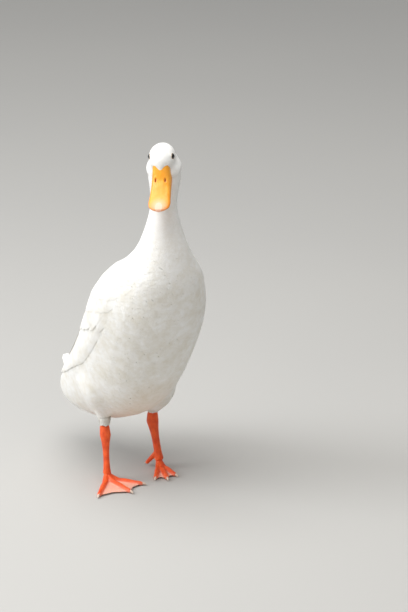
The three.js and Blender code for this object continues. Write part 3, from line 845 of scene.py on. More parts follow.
def build_bill():
    """Both halves of the bill and its nail."""
    for node, rows, relief in (("bill_upper", UPPER_BILL, upper_relief), ("bill_lower", LOWER_BILL, lower_relief)):
        shape, points = bill_half(rows, relief)
        mesh = as_mesh(shape, node + "_horn")
        x, y, z = points.T
        nostril = np.hypot(
            (np.abs(x) - NOSTRIL["at"][0]) / NOSTRIL["half"][0], (y - NOSTRIL["at"][1]) / NOSTRIL["half"][1]
        )
        # painted shade inside each nostril's shallow pit, on the upper half only
        nostril_shade = (1 - step(0.5, 1.3, nostril)) * (z > MOUTH_Z + 2) * (node == "bill_upper")
        point_values(mesh, "nostril_shade", nostril_shade)
        point_values(mesh, "tip", 1 - step(4, 15, np.hypot(x, (y + 75) / 1.2)))
        point_values(mesh, "edge", np.exp(-(((z - MOUTH_Z) / 2.2) ** 2)))
        piece = finished(node + "_horn", mesh, "bill", bill_horn())
        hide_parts(node)
    start = (NAIL["start"], *rows_at(UPPER_BILL, NAIL["start"]).ravel())
    shape, _ = bill_half([start, *[row for row in UPPER_BILL if row[0] < NAIL["start"]]], nail_relief, 200)
    piece = finished("bill_nail_horn", as_mesh(shape, "bill_nail_horn"), "nail", nail_horn())
    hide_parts("bill_nail")


def turned_to(look):
    """A turn that takes +Z to a direction, keeping the head's up as the second axis."""
    look = Vector(look)
    up = HEAD_TURN @ Vector((0, 0, 1))
    side = up.cross(look).normalized()
    return Matrix((side, look.cross(side), look)).transposed()


def build_eyes():
    """Both eyeballs, with a raised cornea over the iris."""
    for side, middle, look, _ in zip(SIDES, *lid_places()):
        shape = bmesh.new()
        ball = bmesh.ops.create_uvsphere(shape, u_segments=48, v_segments=40, radius=EYE_RADIUS * MM)["verts"]
        angle = np.array([math.acos(max(-1, min(1, vert.co.normalized().z))) for vert in ball])
        bulge = 1 + 0.05 * np.exp(-((angle / 0.55) ** 2))
        turn = turned_to(look)
        for vert, swell in zip(ball, bulge):
            vert.co = turn @ (vert.co * swell) + Vector(middle)
        mesh = as_mesh(shape, f"eyeball_{side}")
        point_values(mesh, "angle", angle)
        piece = finished(f"eyeball_{side}", mesh, "eye", wet_eye())
        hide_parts(f"eye_{side}")


CLAWS = ("inner", "middle", "outer", "hind")
CLAW_VOXEL = 0.34 * MM


def build_claws():
    """The claws of each foot as one smooth piece."""
    for side in SIDES:
        shape = bmesh.new()
        for toe in CLAWS:
            node_copy(shape, f"claw_{toe}_{side}", 0.1 * MM)
        shape = closed_again(shape, CLAW_VOXEL)
        smoothed(shape)
        piece = finished(f"claws_{side}", as_mesh(shape, f"claws_{side}"), "claw", claw_horn())
        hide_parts(*[f"claw_{toe}_{side}" for toe in CLAWS])


# ---------------------------------------------------------------- the skin

ANKLES = {"right": (-39.5, -13.9, 13.6), "left": (50, -7.6, 14)}
LEG_NODES = ("shank", "foot", "hind_toe")
LEG_GROW = {"shank_left": 1.1}
LEG_VOXEL = 0.8 * MM
SKIN_VOXEL = 2.3 * MM
LID = {"thick": 0.27, "long": 0.06}


def body_skin():
    """The skin under the plumage: the form drawn in by the plumage's depth."""
    form = feathered_form()
    depth = averaged(form.values["depth"], form.edges, 10)
    points = form.points - form.normals * (depth * 0.9 * MM)[:, None]
    mesh = bpy.data.meshes.new("draft")
    mesh.from_pydata(points.tolist(), [], form.faces.tolist())
    shape = bmesh.new()
    shape.from_mesh(mesh)
    bpy.data.meshes.remove(mesh)
    shape = closed_again(shape, SKIN_VOXEL)
    smoothed(shape)
    return shape


def toe_line(points, side):
    """How far points of a foot are from its nearest toe's middle line, and how far along they are."""
    ankle = np.array(ANKLES[side])[:2]
    best, along = np.full(len(points), 1e9), np.zeros(len(points))
    for toe in CLAWS[:3]:
        line = np.array(box_middle(f"claw_{toe}_{side}"))[:2] / MM - ankle
        out = points[:, :2] - ankle
        far = np.clip(out @ unit(line), 0, np.linalg.norm(line))
        away = np.linalg.norm(out - far[:, None] * unit(line), axis=1)
        nearer = away < best
        best[nearer], along[nearer] = away[nearer], far[nearer]
    return best, along


def leg_skin(side):
    """The bare leg and webbed foot, with its rows of scales in relief, and its web values."""
    shape = bmesh.new()
    for part in LEG_NODES:
        node_copy(shape, f"{part}_{side}", LEG_GROW.get(f"{part}_{side}", 0.15) * MM)
    plug = Matrix.Translation(Vector(HOCKS[side]) * MM + Vector((0, 0, 13 * MM)))
    bmesh.ops.create_cone(
        shape, cap_ends=True, segments=24, radius1=5 * MM, radius2=4.5 * MM, depth=18 * MM, matrix=plug
    )
    shape = closed_again(shape, LEG_VOXEL)
    shape.verts.index_update()
    edges = neighbours(shape)
    points = averaged(np.array([vert.co for vert in shape.verts]), edges, 5) / MM
    shape.normal_update()
    normals = unit(averaged(np.array([vert.normal for vert in shape.verts]), edges, 3))
    away, along = toe_line(points, side)
    low = 1 - step(13, 20, points[:, 2])
    toes_way = unit(
        np.sum([np.array(box_middle(f"claw_{toe}_{side}"))[:2] / MM - ANKLES[side][:2] for toe in CLAWS[:3]], axis=0)
    )
    web = step(3.6, 5.2, away) * low * step(-1, 4, (points[:, :2] - ANKLES[side][:2]) @ toes_way)
    toes = low * (1 - step(2.6, 4.2, away)) * np.clip(normals[:, 2], 0, 1)
    shin = (1 - low) * np.clip(-normals[:, 1] * 0.9 + 0.2, 0, 1) * (1 - step(66, 76, points[:, 2]))
    band = np.where(low > 0.5, along / 2.7, points[:, 2] / 3.3 + 0.25 * np.sin(points[:, 0]))
    groove = np.abs(band - np.round(band)) * 2
    relief = 0.22 * (toes + shin) * (np.sqrt(np.clip(groove, 0, 1)) - 0.6)
    relief += 0.16 * (1 - web) * (1 - shin) * (1 - toes) * cells(points, 2.4)
    fold = np.sin(points[:, 2] * 1.9 + 0.8 * np.sin(points[:, 0] * 0.7)) * np.exp(-(((points[:, 2] - 74) / 5) ** 2))
    relief += 0.14 * fold + 0.1 * web * ripples(points)
    points = points + normals * relief[:, None]
    points[:, 2] = np.maximum(points[:, 2], 0.02)
    for vert, place in zip(shape.verts, points * MM):
        vert.co = place
    return shape, web, groove


def cells(points, size):
    """Low rounded scales with grooves between them, from -1 to 1."""
    gaps = [noise.voronoi(Vector(point) / size)[0] for point in points.tolist()]
    return np.array([min(1.0, (far[1] - far[0]) * 3) * 1.6 - 0.8 for far in gaps])


def ripples(points):
    """Fine creases of the web, from -1 to 1."""
    places = [Vector((x * 0.5, y * 0.35, 0)) for x, y, _ in points.tolist()]
    return np.array([noise.noise(place, noise_basis="PERLIN_ORIGINAL") for place in places]) * 1.5


def eyelids(shape):
    """A rolled rim of bare skin round each eye."""
    for middle, look, reach in zip(*lid_places()):
        aside = Matrix.Translation((reach * MM, 0, 0)) @ Matrix.Rotation(math.pi / 2, 4, "X")
        ring = bmesh.ops.create_circle(shape, segments=10, radius=LID["thick"] * MM, matrix=aside)["verts"]
        edges = list({edge for vert in ring for edge in vert.link_edges})
        bmesh.ops.spin(
            shape, geom=ring + edges, cent=(0, 0, 0), axis=(0, 0, 1), angle=math.tau, steps=48, use_merge=True
        )
        verts = {vert for face in {f for v in ring for f in v.link_faces} for vert in face.verts}
        seen = set(verts)
        while verts:
            verts = {far for vert in verts for edge in vert.link_edges for far in edge.verts} - seen
            seen |= verts
        turn = turned_to(look)
        for vert in seen:
            around = math.atan2(vert.co.y, vert.co.x)
            flat = math.hypot(vert.co.x, vert.co.y) * (1 + LID["long"] * math.cos(2 * around))
            cover = reach * MM * (1 + LID["long"] * math.cos(2 * around))
            seat = math.sqrt(max((EYE_RADIUS * MM) ** 2 - cover**2, 0)) + 0.12 * MM
            place = Vector((math.cos(around) * flat, math.sin(around) * flat, vert.co.z + seat))
            vert.co = turn @ place + Vector(middle)


def build_skin():
    """One skin over the whole bird, bare on the legs, feet and eyelids."""
    whole = bmesh.new()
    web_values, groove_values = [], []
    lids = bmesh.new()
    eyelids(lids)
    bmesh.ops.recalc_face_normals(lids, faces=lids.faces)
    legs = [leg_skin(side) for side in SIDES]
    parts = [(body_skin(), 0, 0, 0), *[(shape, 1, web, groove) for shape, web, groove in legs], (lids, 2, 0, 0)]
    for shape, kind, web, groove in parts:
        count = len(shape.verts)
        for face in shape.faces:
            face.smooth, face.material_index = True, kind
        join(whole, shape)
        web_values.append(np.broadcast_to(web, count))
        groove_values.append(np.broadcast_to(groove, count))
    mesh = as_mesh(whole, "skin")
    point_values(mesh, "web", np.concatenate(web_values))
    point_values(mesh, "groove", np.concatenate(groove_values))
    piece = finished("skin", mesh, "leg", down_skin(), leg_skin_material(), lid_skin())
    flesh = PLUMED_NODES + [f"{part}_{side}" for part in LEG_NODES for side in SIDES]
    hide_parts(*flesh)


# ---------------------------------------------------------------- the plumage

SMALL_WAY = 128  # up to here along the spine the feathers are small and plain
HEAD_WAY, BREAST_WAY = 48, 330  # where the head's and the breast's pieces end along the spine
BACK_HIGH = 0.25  # above this share of the way up from the side the feathers are the back's
COAT_ENDS = (123, 131)  # the last roots along Y, over and under the tail
HOCK_CLEAR = 8.5  # no roots this close to a hock
EYE_CLEAR = -0.13  # feathers end this far in radians outside the lid


@lru_cache(maxsize=None)
def coat_roots():
    """Every small feather's root, and the piece of the coat that it belongs to."""
    form = feathered_form()
    heads = to_head(form.points)
    above = form.points[:, 2] > 100 * MM
    keep = ~in_bill(heads, -0.1) & (form.points[:, 1] < np.where(above, *COAT_ENDS) * MM)
    roots, spot = scattered(form, keep.astype(float), 1.0, SEED)
    clear = ~in_bill(to_head(roots), 0.1)
    hock_end = np.min([np.linalg.norm(roots / MM - hock, axis=1) for hock in HOCKS.values()], axis=0) > HOCK_CLEAR
    kept = clear & hock_end
    roots, spot = roots[kept], (spot[0][kept], spot[1][kept])
    way, high = form.read(form.values["way"], spot), form.read(form.values["high"], spot)
    wing = form.read(wing_share(form), spot) > 0.5
    left = roots[:, 0] > 0
    away = np.min([form.read(form.near[f"thigh_{side}"], spot) for side in SIDES], axis=0)
    thigh = (away < 3) & (roots[:, 2] < 150 * MM)
    region = np.where(left, "coat_belly_left", "coat_belly_right").astype("<U18")
    region[(way < BREAST_WAY) & (high < BACK_HIGH) & left] = "coat_breast_left"
    region[(way < BREAST_WAY) & (high < BACK_HIGH) & ~left] = "coat_breast_right"
    region[high >= BACK_HIGH] = "coat_back"
    region[thigh] = "coat_thighs"
    region[wing & left] = "coat_wing_left"
    region[wing & ~left] = "coat_wing_right"
    region[way < SMALL_WAY] = "coat_neck"
    region[way < HEAD_WAY] = "coat_head"
    return roots, spot, region


CUFF = {"rows": 4, "in_row": 24, "above": 25, "drop": 2.2, "long": 8, "half": 1.6, "leg": 7.2, "ahead": -2,
        "narrowest": 6.8, "widest": 9.6, "under": 0.3}


def lay_cuffs(coat):
    """Small feathers round each leg that hang over the top of the bare skin."""
    rng = np.random.default_rng(SEED)
    vane = coat.vane
    form = feathered_form()
    for hock in HOCKS.values():
        for row in range(CUFF["rows"]):
            share = np.arange(CUFF["in_row"]) + 0.5 * (row % 2) + rng.normal(0, 0.12, CUFF["in_row"])
            turn = share / CUFF["in_row"] * math.tau
            top = np.array(hock) + (0, CUFF["ahead"], CUFF["above"] - CUFF["drop"] * row)
            outward = np.stack([np.cos(turn), np.sin(turn), 0 * turn], 1)
            start = [form.tree.ray_cast(tuple(top * MM), tuple(way))[0] for way in outward]
            radius = [(place - Vector(top * MM)).length / MM if place else 9.0 for place in start]
            radius = np.clip(radius, CUFF["narrowest"], CUFF["widest"]) - CUFF["under"]
            spot = form.touch((top + outward * radius[:, None]) * MM)
            long = CUFF["long"] * (1 + rng.normal(0, 0.12, len(turn)))[:, None]
            fall = np.clip(vane.v, 0, 1)[None] * long
            down = np.clip(fall / CUFF["long"], 0, 1)
            layer = 0.1 + 0.12 * (CUFF["rows"] - row) * vane.v - 1.2 * (1 - np.clip(vane.v, 0, 1)) ** 3
            reach = radius[:, None] * (1 - down) + CUFF["leg"] * down + layer
            across = np.stack([np.sin(turn), -np.cos(turn), 0 * turn], 1)
            wide = vane.u * vane.wide * CUFF["half"]
            places = top + outward[:, None] * reach[..., None] + across[:, None] * wide[None, :, None]
            places[..., 2] -= fall
            facing = np.broadcast_to(unit(outward + (0, 0, 0.4))[:, None], places.shape)
            plan = np.broadcast_to(np.stack([wide, vane.v * CUFF["long"]], 1), (*places.shape[:2], 2))
            bake = baked(form.read(form.values["way"], spot), form.read(form.values["turn"], spot))
            coat.add(places * MM, facing, plan, rng.random(len(turn)), bake)


COATS = ("coat_head", "coat_neck", "coat_breast_left", "coat_breast_right", "coat_belly_left", "coat_belly_right",
         "coat_back", "coat_thighs", "coat_wing_right", "coat_wing_left")


def build_coat():
    """The small feathers, laid over the skin in one piece for each part of the bird."""
    form = feathered_form()
    roots, spot, region = coat_roots()
    centres, looks, reaches = lid_places()
    for number, name in enumerate(COATS):
        picked = region == name
        vane = SMALL_VANE if name in ("coat_head", "coat_neck") else BODY_VANE
        here = (spot[0][picked], spot[1][picked])
        laid = lay_coat(form, vane, roots[picked], here, SEED + number)
        if name == "coat_head":
            clear = np.ones(len(laid[0]), bool)
            for middle, look, reach in zip(centres, looks, reaches):
                edge = unit(laid[0] - middle) @ look
                close = np.linalg.norm(laid[0] - middle, axis=2) < 8 * MM
                clear &= ~(close & (edge > math.cos(math.asin(reach / EYE_RADIUS) + EYE_CLEAR))).any(1)
            laid = [part[clear] for part in laid]
        coat = Coat(vane)
        coat.add(*laid)
        if name == "coat_thighs":
            lay_cuffs(coat)
        finished(name, coat.mesh(name), "plumage", plumage())


# Wing feathers in rows: for each feather of a row, the place of its tip and root, as the run along
# the body's rows and degrees up from the side, then its half width in millimetres.
WING_LOW = [(0.13, 52), (0.19, 28), (0.26, 8), (0.34, -6), (0.43, -12), (0.51, -12), (0.6, 10)]


# Each row of coverts, in runs: its lowest feather's tip, its feathers' length, and each one's step back.
COVERTS = {
    "greater_coverts": (0.455, 0.1, 0.013), "median_coverts": (0.5, 0.07, 0.011), "lesser_coverts": (0.53, 0.05, 0.009)
}


def low_edge(run):
    """The wing's lower edge at a run along the body, in degrees up from the side."""
    return rows_at(WING_LOW, np.atleast_1d(run))[0, 0]


def wing_rows():
    """Kinds of wing feather from the lowest layer up: root run, root angle, tip run, tip angle, half width."""
    rows = {kind: [] for kind in WING_LIFT}
    for j in range(9):
        tip = 0.355 - 0.0235 * j
        angle = low_edge(tip) + 5 + 0.6 * j
        rows["secondaries"].append((tip + 0.19, angle - 11 + 0.9 * j, tip, angle, 8.5))
    for k in range(4):
        tip = 0.165 - 0.012 * k
        rows["tertials"].append((0.42, 36 + 8 * k, tip, 52 + 5 * k, 11.5 - k * 0.5))
    for kind, (first, long, back) in COVERTS.items():
        for j in range(10):
            tip = first - back * j
            rows[kind].append((tip + long, low_edge(tip) - 3 + 7 * j, tip, low_edge(tip) + 5 + 7 * j, 7))
    return rows


WING_LIFT = {
    "secondaries": -0.8, "tertials": -0.3, "greater_coverts": -0.4, "median_coverts": -0.35, "lesser_coverts": -0.3
}


def lay_wing_feather(form, side, row, lift, rng):
    """One long feather on the wing's surface, its lower edge over the next and its upper one under."""
    root_run, root_angle, tip_run, tip_angle, half = row
    vane = FLIGHT_VANE
    v = np.clip(vane.v, 0, 1)
    run = root_run + (tip_run - root_run) * v
    angle = root_angle + (tip_angle - root_angle) * v**1.15 + rng.normal(0, 0.8)
    line = body_point(run, angle, 4)
    line[:, 0] *= SIDES[side]
    ahead = body_point(run - 0.01, angle + (tip_angle - root_angle) * 0.01 / (root_run - tip_run), 4)
    ahead[:, 0] *= SIDES[side]
    along = unit(ahead - line)
    out = form.read(form.normals, form.touch(line))
    down = unit(np.cross(along, out))
    flat = line + down * (vane.u * vane.wide * half * MM)[:, None]
    spot = form.touch(flat)
    ground, out = form.read(form.points, spot), unit(form.read(form.normals, spot))
    shaft = 0.22 * np.exp(-((vane.u * 6) ** 2)) * (1 - v)
    height = lift + 0.3 * vane.u * vane.wide * SIDES[side] - 0.25 * vane.u**2 - 2.2 * (1 - v) ** 3 + shaft
    places = ground + out * (height * MM)[:, None]
    long = np.linalg.norm(line[-1] - line[0]) / MM
    plan = np.stack([vane.u * vane.wide * half, v * long], 1)
    way, turn = form.read(form.values["way"], spot), form.read(form.values["turn"], spot)
    return places, out, plan, baked(way[:1], turn[:1])[0]


def build_wing_feathers():
    """Long feathers of the folded wings, each kind over the last."""
    form = feathered_form()
    for side in SIDES:
        rng = np.random.default_rng(SEED + SIDES[side])
        coat = Coat(FLIGHT_VANE)
        for kind, rows in wing_rows().items():
            for row in rows:
                places, out, plan, bake = lay_wing_feather(form, side, row, WING_LIFT[kind], rng)
                coat.add(places[None], out[None], plan[None], rng.random(1), bake[None])
        finished(f"wing_feathers_{side}", coat.mesh(f"wing_feathers_{side}"), "plumage", plumage())


# The flight feathers' tips past the wing: a line from inside it to the tip, on the left.
WING_TIP_LINE = [
    (0, 42, 60, 164), (0.35, 40.5, 85, 157), (0.6, 36, 105, 149), (0.85, 30, 128, 142), (1, 26, 145.4, 139)
]
PRIMARIES = 7


def free_vane(vane, line, across, out, half, lift, long):
    """A feather round a line of its own: places and plan."""
    height = lift - 0.3 * vane.u**2 + 0.25 * np.exp(-((vane.u * 6) ** 2)) * (1 - np.clip(vane.v, 0, 1))
    places = line + across * (vane.u * vane.wide * half * MM)[:, None] + out * (height * MM)[:, None]
    return places, np.stack([vane.u * vane.wide * half, vane.v * long], 1)


def build_primaries():
    """The stacked tips of the flight feathers over the rump."""
    lean = math.radians(35)
    for side, sign in SIDES.items():
        coat = Coat(FLIGHT_VANE)
        vane = FLIGHT_VANE
        out = np.array((sign * math.sin(lean), 0, math.cos(lean)))
        across = np.array((sign * math.cos(lean), 0, -math.sin(lean)))
        for j in range(PRIMARIES):
            reach = 1 - 0.085 * j
            share = np.clip(vane.v, 0, 1) * reach
            line = rows_at(WING_TIP_LINE, share)
            line[:, 0] *= sign
            line = line * MM + across * ((2.4 * j - 1.5) * np.clip(vane.v, 0, 1) * MM)[:, None]
            along = unit(np.gradient(rows_at(WING_TIP_LINE, np.linspace(0, 1, 20)), axis=0)[12] * (sign, 1, 1))
            side_way = unit(across - along * (across @ along))
            lift = 1.2 - 0.45 * j
            places, plan = free_vane(vane, line, side_way * sign, out, 7.2 - 0.2 * j, lift, 95 * reach)
            facing = np.broadcast_to(out, places.shape)
            spot = np.array([[0.3 + 0.4 * (sign > 0), 0.86 + 0.005 * j]])
            coat.add(places[None], facing[None], plan[None], np.array([j / PRIMARIES]), spot)
        piece = finished(f"primaries_{side}", coat.mesh(f"primaries_{side}"), "plumage", plumage())
        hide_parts(f"wing_tip_{side}")


# The tail fan: place along Y, height, and half width of the fan.
TAIL_ROWS = [(76, 116, 12), (88, 115.5, 14), (107, 114, 19), (133, 109, 24), (155, 105, 26), (169.4, 103, 27)]
# Layers of the fan: where it starts and ends along Y, its rise, half width, and feathers on each side.
TAIL_LAYERS = {
    "under_coverts": (78, 146, -3.0, 5.6, 5), "main": (90, 169.2, 0, 6.3, 6), "upper_coverts": (80, 144, 2.0, 5.4, 6)
}


def build_tail():
    """The fan of tail feathers and its coverts, the middle ones over the outer ones."""
    coat = Coat(FLIGHT_VANE)
    vane = FLIGHT_VANE
    rng = np.random.default_rng(SEED)
    for first, last, rise, half, count in TAIL_LAYERS.values():
        for sign, j in [(sign, j) for sign in (-1, 1) for j in range(count)]:
            share = (j + 0.5) / count
            end = last - 22 * share**2
            y = first + (end - first) * vane.v
            z, fan = rows_at(TAIL_ROWS, y).T
            layer = rise + 1.6 * (1 - share) - 0.7
            line = np.stack([sign * share * fan, y, z - 2.5 * share**2], 1) * MM
            along = unit(np.array((sign * share * 0.16, 1, -0.14)))
            across = unit(np.cross(along, (0, 0, 1)) + np.array((0, 0, -0.12 * share * sign)))
            out = np.cross(across, along)
            places, plan = free_vane(vane, line, across, out, half + rng.normal(0, 0.2), layer, last - first)
            facing = np.broadcast_to(out, places.shape)
            coat.add(
                places[None], facing[None], plan[None], rng.random(1), np.array([[0.5 + sign * share * 0.2, 0.93]])
            )
    piece = finished("tail_feathers", coat.mesh("tail_feathers"), "plumage", plumage())
    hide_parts("tail")


# ---------------------------------------------------------------- materials


def colour(name):
    """A colour that the user can change, as a plain tuple."""
    return tuple(getattr(bpy.context.scene.duck_colours, name))


def new_material(name, roughness, ior, **settings):
    """A named material with its main shader set and its output linked."""
    made = bpy.data.materials.new(name)
    made.use_nodes = True
    tree = made.node_tree
    shader = tree.nodes["Principled BSDF"]
    shader.inputs["Roughness"].default_value = roughness
    shader.inputs["IOR"].default_value = ior
    for key, value in settings.items():
        shader.inputs[key.replace("_", " ").title().replace("Ior", "IOR")].default_value = value
    return made, tree, shader


@lru_cache(maxsize=None)
def plumage():
    """Clean white feather keratin, matt and slightly translucent, combed with fine barbs; with soft patches of painted
    shade, and low on the belly a warm tint that is partly stain and partly painted orange light from the legs.
    """
    made, tree, shader = new_material(
        "white_feather_keratin", 0.72, 1.54, sheen_weight=0.12, sheen_roughness=0.5, specular_ior_level=0.25
    )
    place = add_node(tree, "TexCoord")
    height = add_node(tree, "SeparateXYZ", {0: place.outputs["Object"]})
    # warm tint low on the underside, partly a stain and partly painted orange light thrown up from the legs, growing
    # from 190 mm up down to 90 mm
    low = add_node(tree, "MapRange", {"Value": height.outputs["Z"], "From Min": 0.19, "From Max": 0.09})
    ahead = add_node(tree, "MapRange", {"Value": height.outputs["Y"], "From Min": 0.06, "From Max": -0.03})
    aside = add_node(tree, "Math", {0: height.outputs["X"]}, operation="ABSOLUTE")
    between = add_node(
        tree, "MapRange", {"Value": aside.outputs[0], "From Min": 0.045, "From Max": 0.02, "To Min": 0.1}
    )
    forward = add_node(tree, "Math", {0: low.outputs[0], 1: ahead.outputs[0]}, operation="MULTIPLY")
    stain_and_bounce_light = add_node(tree, "Math", {0: forward.outputs[0], 1: between.outputs[0]}, operation="MULTIPLY")
    # soft patches of painted shade about 25 mm across, for the shade that falls where the plumage parts and closes
    patches = add_node(tree, "TexNoise", {"Vector": place.outputs["Object"], "Scale": 40.0, "Detail": 3.0})
    uneven = add_node(
        tree, "MapRange", {"Value": patches.outputs[0], "From Min": 0.35, "From Max": 0.7, "To Max": 0.55}
    )
    tint = add_node(tree, "Attribute", attribute_name="tint")
    # smaller clumps of painted shade about 9 mm across
    clumps = add_node(tree, "TexNoise", {"Vector": place.outputs["Object"], "Scale": 110.0, "Detail": 2.0})
    clump_shade = add_node(tree, "MapRange", {"Value": clumps.outputs[0], "From Min": 0.4, "From Max": 0.65, "To Max": 0.35})
    both = add_node(tree, "Math", {0: clump_shade.outputs[0], 1: uneven.outputs[0]}, operation="ADD")
    # the painted shade of the clumps and patches fades out up the neck
    body = add_node(
        tree, "MapRange", {"Value": height.outputs["Z"], "From Min": 0.43, "From Max": 0.33, "To Min": 0.25}
    )
    lower = add_node(tree, "Math", {0: both.outputs[0], 1: body.outputs[0]}, operation="MULTIPLY")
    # each feather's own random cream tone, plus the painted shade of the patches and clumps
    each = add_node(tree, "Math", {0: tint.outputs["Fac"], 1: 0.22, 2: lower.outputs[0]}, operation="MULTIPLY_ADD")
    cream_and_shade = add_node(tree, "Mix", {0: each.outputs[0], 6: colour("plumage"), 7: colour("cream_and_shade")}, data_type="RGBA")
    # the warm tint's share: partly stain, partly painted orange light from the legs
    warm_tint_share = add_node(tree, "Math", {0: stain_and_bounce_light.outputs[0], 1: 0.55}, operation="MULTIPLY")
    final = add_node(tree, "Mix", {0: warm_tint_share.outputs[0], 6: cream_and_shade.outputs[2], 7: colour("stain_and_bounce_light")}, data_type="RGBA")
    tree.links.new(final.outputs[2], shader.inputs["Base Color"])
    # barbs leave the shaft at about 35 degrees, drawn 0.7 mm apart, coarser than the real 0.3 mm, to show
    vane = add_node(tree, "UVMap", uv_map="vane")
    parts = add_node(tree, "SeparateXYZ", {0: vane.outputs[0]})
    wide = add_node(tree, "Math", {0: parts.outputs[0]}, operation="ABSOLUTE")
    slant = add_node(tree, "Math", {0: wide.outputs[0], 1: -1.3, 2: parts.outputs[1]}, operation="MULTIPLY_ADD")
    phase = add_node(tree, "Math", {0: slant.outputs[0], 1: math.tau / 0.7}, operation="MULTIPLY")
    barbs = add_node(tree, "Math", {0: phase.outputs[0]}, operation="SINE")
    shaft = add_node(tree, "MapRange", {"Value": wide.outputs[0], "From Min": 0.35, "From Max": 0.1, "To Max": 1.6})
    relief = add_node(tree, "Math", {0: barbs.outputs[0], 1: shaft.outputs[0]}, operation="ADD")
    bump = add_node(tree, "Bump", {"Strength": 0.25, "Distance": 0.0001, "Height": relief.outputs[0]})
    tree.links.new(bump.outputs[0], shader.inputs["Normal"])
    return made


def grained(tree, shader, tones, scale, detail, strength, deep):
    """Two tones in soft grains, so many to a metre, raised by a share of a depth in millimetres."""
    place = add_node(tree, "TexCoord")
    grains = add_node(tree, "TexNoise", {"Vector": place.outputs["Object"], "Scale": scale, "Detail": detail})
    mixed = add_node(tree, "Mix", {0: grains.outputs[0], 6: colour(tones[0]), 7: colour(tones[1])}, data_type="RGBA")
    tree.links.new(mixed.outputs[2], shader.inputs["Base Color"])
    bump = add_node(tree, "Bump", {"Strength": strength, "Distance": deep * MM, "Height": grains.outputs[0]})
    tree.links.new(bump.outputs[0], shader.inputs["Normal"])


@lru_cache(maxsize=None)
def down_skin():
    """Skin under white down: pale and matt, with the down's soft clumps."""
    made, tree, shader = new_material("down_covered_skin", 0.85, 1.4, specular_ior_level=0.2)
    grained(tree, shader, ("plumage", "cream_and_shade"), 320.0, 2.0, 0.4, 0.6)  # down in clumps of 3 mm
    return made


@lru_cache(maxsize=None)
def leg_skin_material():
    """Scaly waterproof leg skin: satin, cell patterned, paler where the web is stretched thin."""
    made, tree, shader = new_material(
        "scaly_leg_skin", 0.46, 1.45,
        subsurface_weight=0.12, subsurface_scale=0.003, coat_weight=0.08, coat_roughness=0.35
    )
    shader.inputs["Subsurface Radius"].default_value = (1.0, 0.35, 0.15)
    place = add_node(tree, "TexCoord")
    web = add_node(tree, "Attribute", attribute_name="web")
    groove = add_node(tree, "Attribute", attribute_name="groove")
    height = add_node(tree, "SeparateXYZ", {0: place.outputs["Object"]})
    # scales 1.3 mm across on the leg
    scales = add_node(
        tree, "TexVoronoi", {"Vector": place.outputs["Object"], "Scale": 770.0}, feature="DISTANCE_TO_EDGE"
    )
    plate = add_node(tree, "MapRange", {"Value": scales.outputs["Distance"], "From Max": 0.22})
    blotch = add_node(tree, "TexNoise", {"Vector": place.outputs["Object"], "Scale": 120.0, "Detail": 4.0})
    patch = add_node(tree, "MapRange", {"Value": blotch.outputs[0], "From Min": 0.35, "From Max": 0.68})
    leg = add_node(tree, "Mix", {0: patch.outputs[0], 6: colour("leg"), 7: colour("leg_deep")}, data_type="RGBA")
    toned = add_node(tree, "Math", {0: web.outputs["Fac"], 1: 0.85}, operation="MULTIPLY")
    webbed = add_node(tree, "Mix", {0: toned.outputs[0], 6: leg.outputs[2], 7: colour("web")}, data_type="RGBA")
    seam = add_node(tree, "MapRange", {"Value": plate.outputs[0], "To Min": 0.35, "To Max": 0.0})
    shaded = add_node(tree, "Mix", {0: seam.outputs[0], 6: webbed.outputs[2], 7: colour("leg_deep")}, data_type="RGBA")
    dusty = add_node(
        tree, "MapRange", {"Value": height.outputs["Z"], "From Min": 0.006, "From Max": 0.001, "To Max": 0.3}
    )
    final = add_node(tree, "Mix", {0: dusty.outputs[0], 6: shaded.outputs[2], 7: colour("claw")}, data_type="RGBA")
    tree.links.new(final.outputs[2], shader.inputs["Base Color"])
    raised = add_node(tree, "Math", {0: groove.outputs["Fac"], 1: 0.3, 2: plate.outputs[0]}, operation="MULTIPLY_ADD")
    bump = add_node(tree, "Bump", {"Strength": 0.55, "Distance": 0.00025, "Height": raised.outputs[0]})
    tree.links.new(bump.outputs[0], shader.inputs["Normal"])
    return made


@lru_cache(maxsize=None)
def lid_skin():
    """Bare lid skin: thin, moist and faintly wrinkled."""
    made, tree, shader = new_material("bare_lid_skin", 0.4, 1.42)
    grained(tree, shader, ("lid", "lid_deep"), 900.0, 3.0, 0.4, 0.2)  # wrinkles 1.1 mm apart
    return made


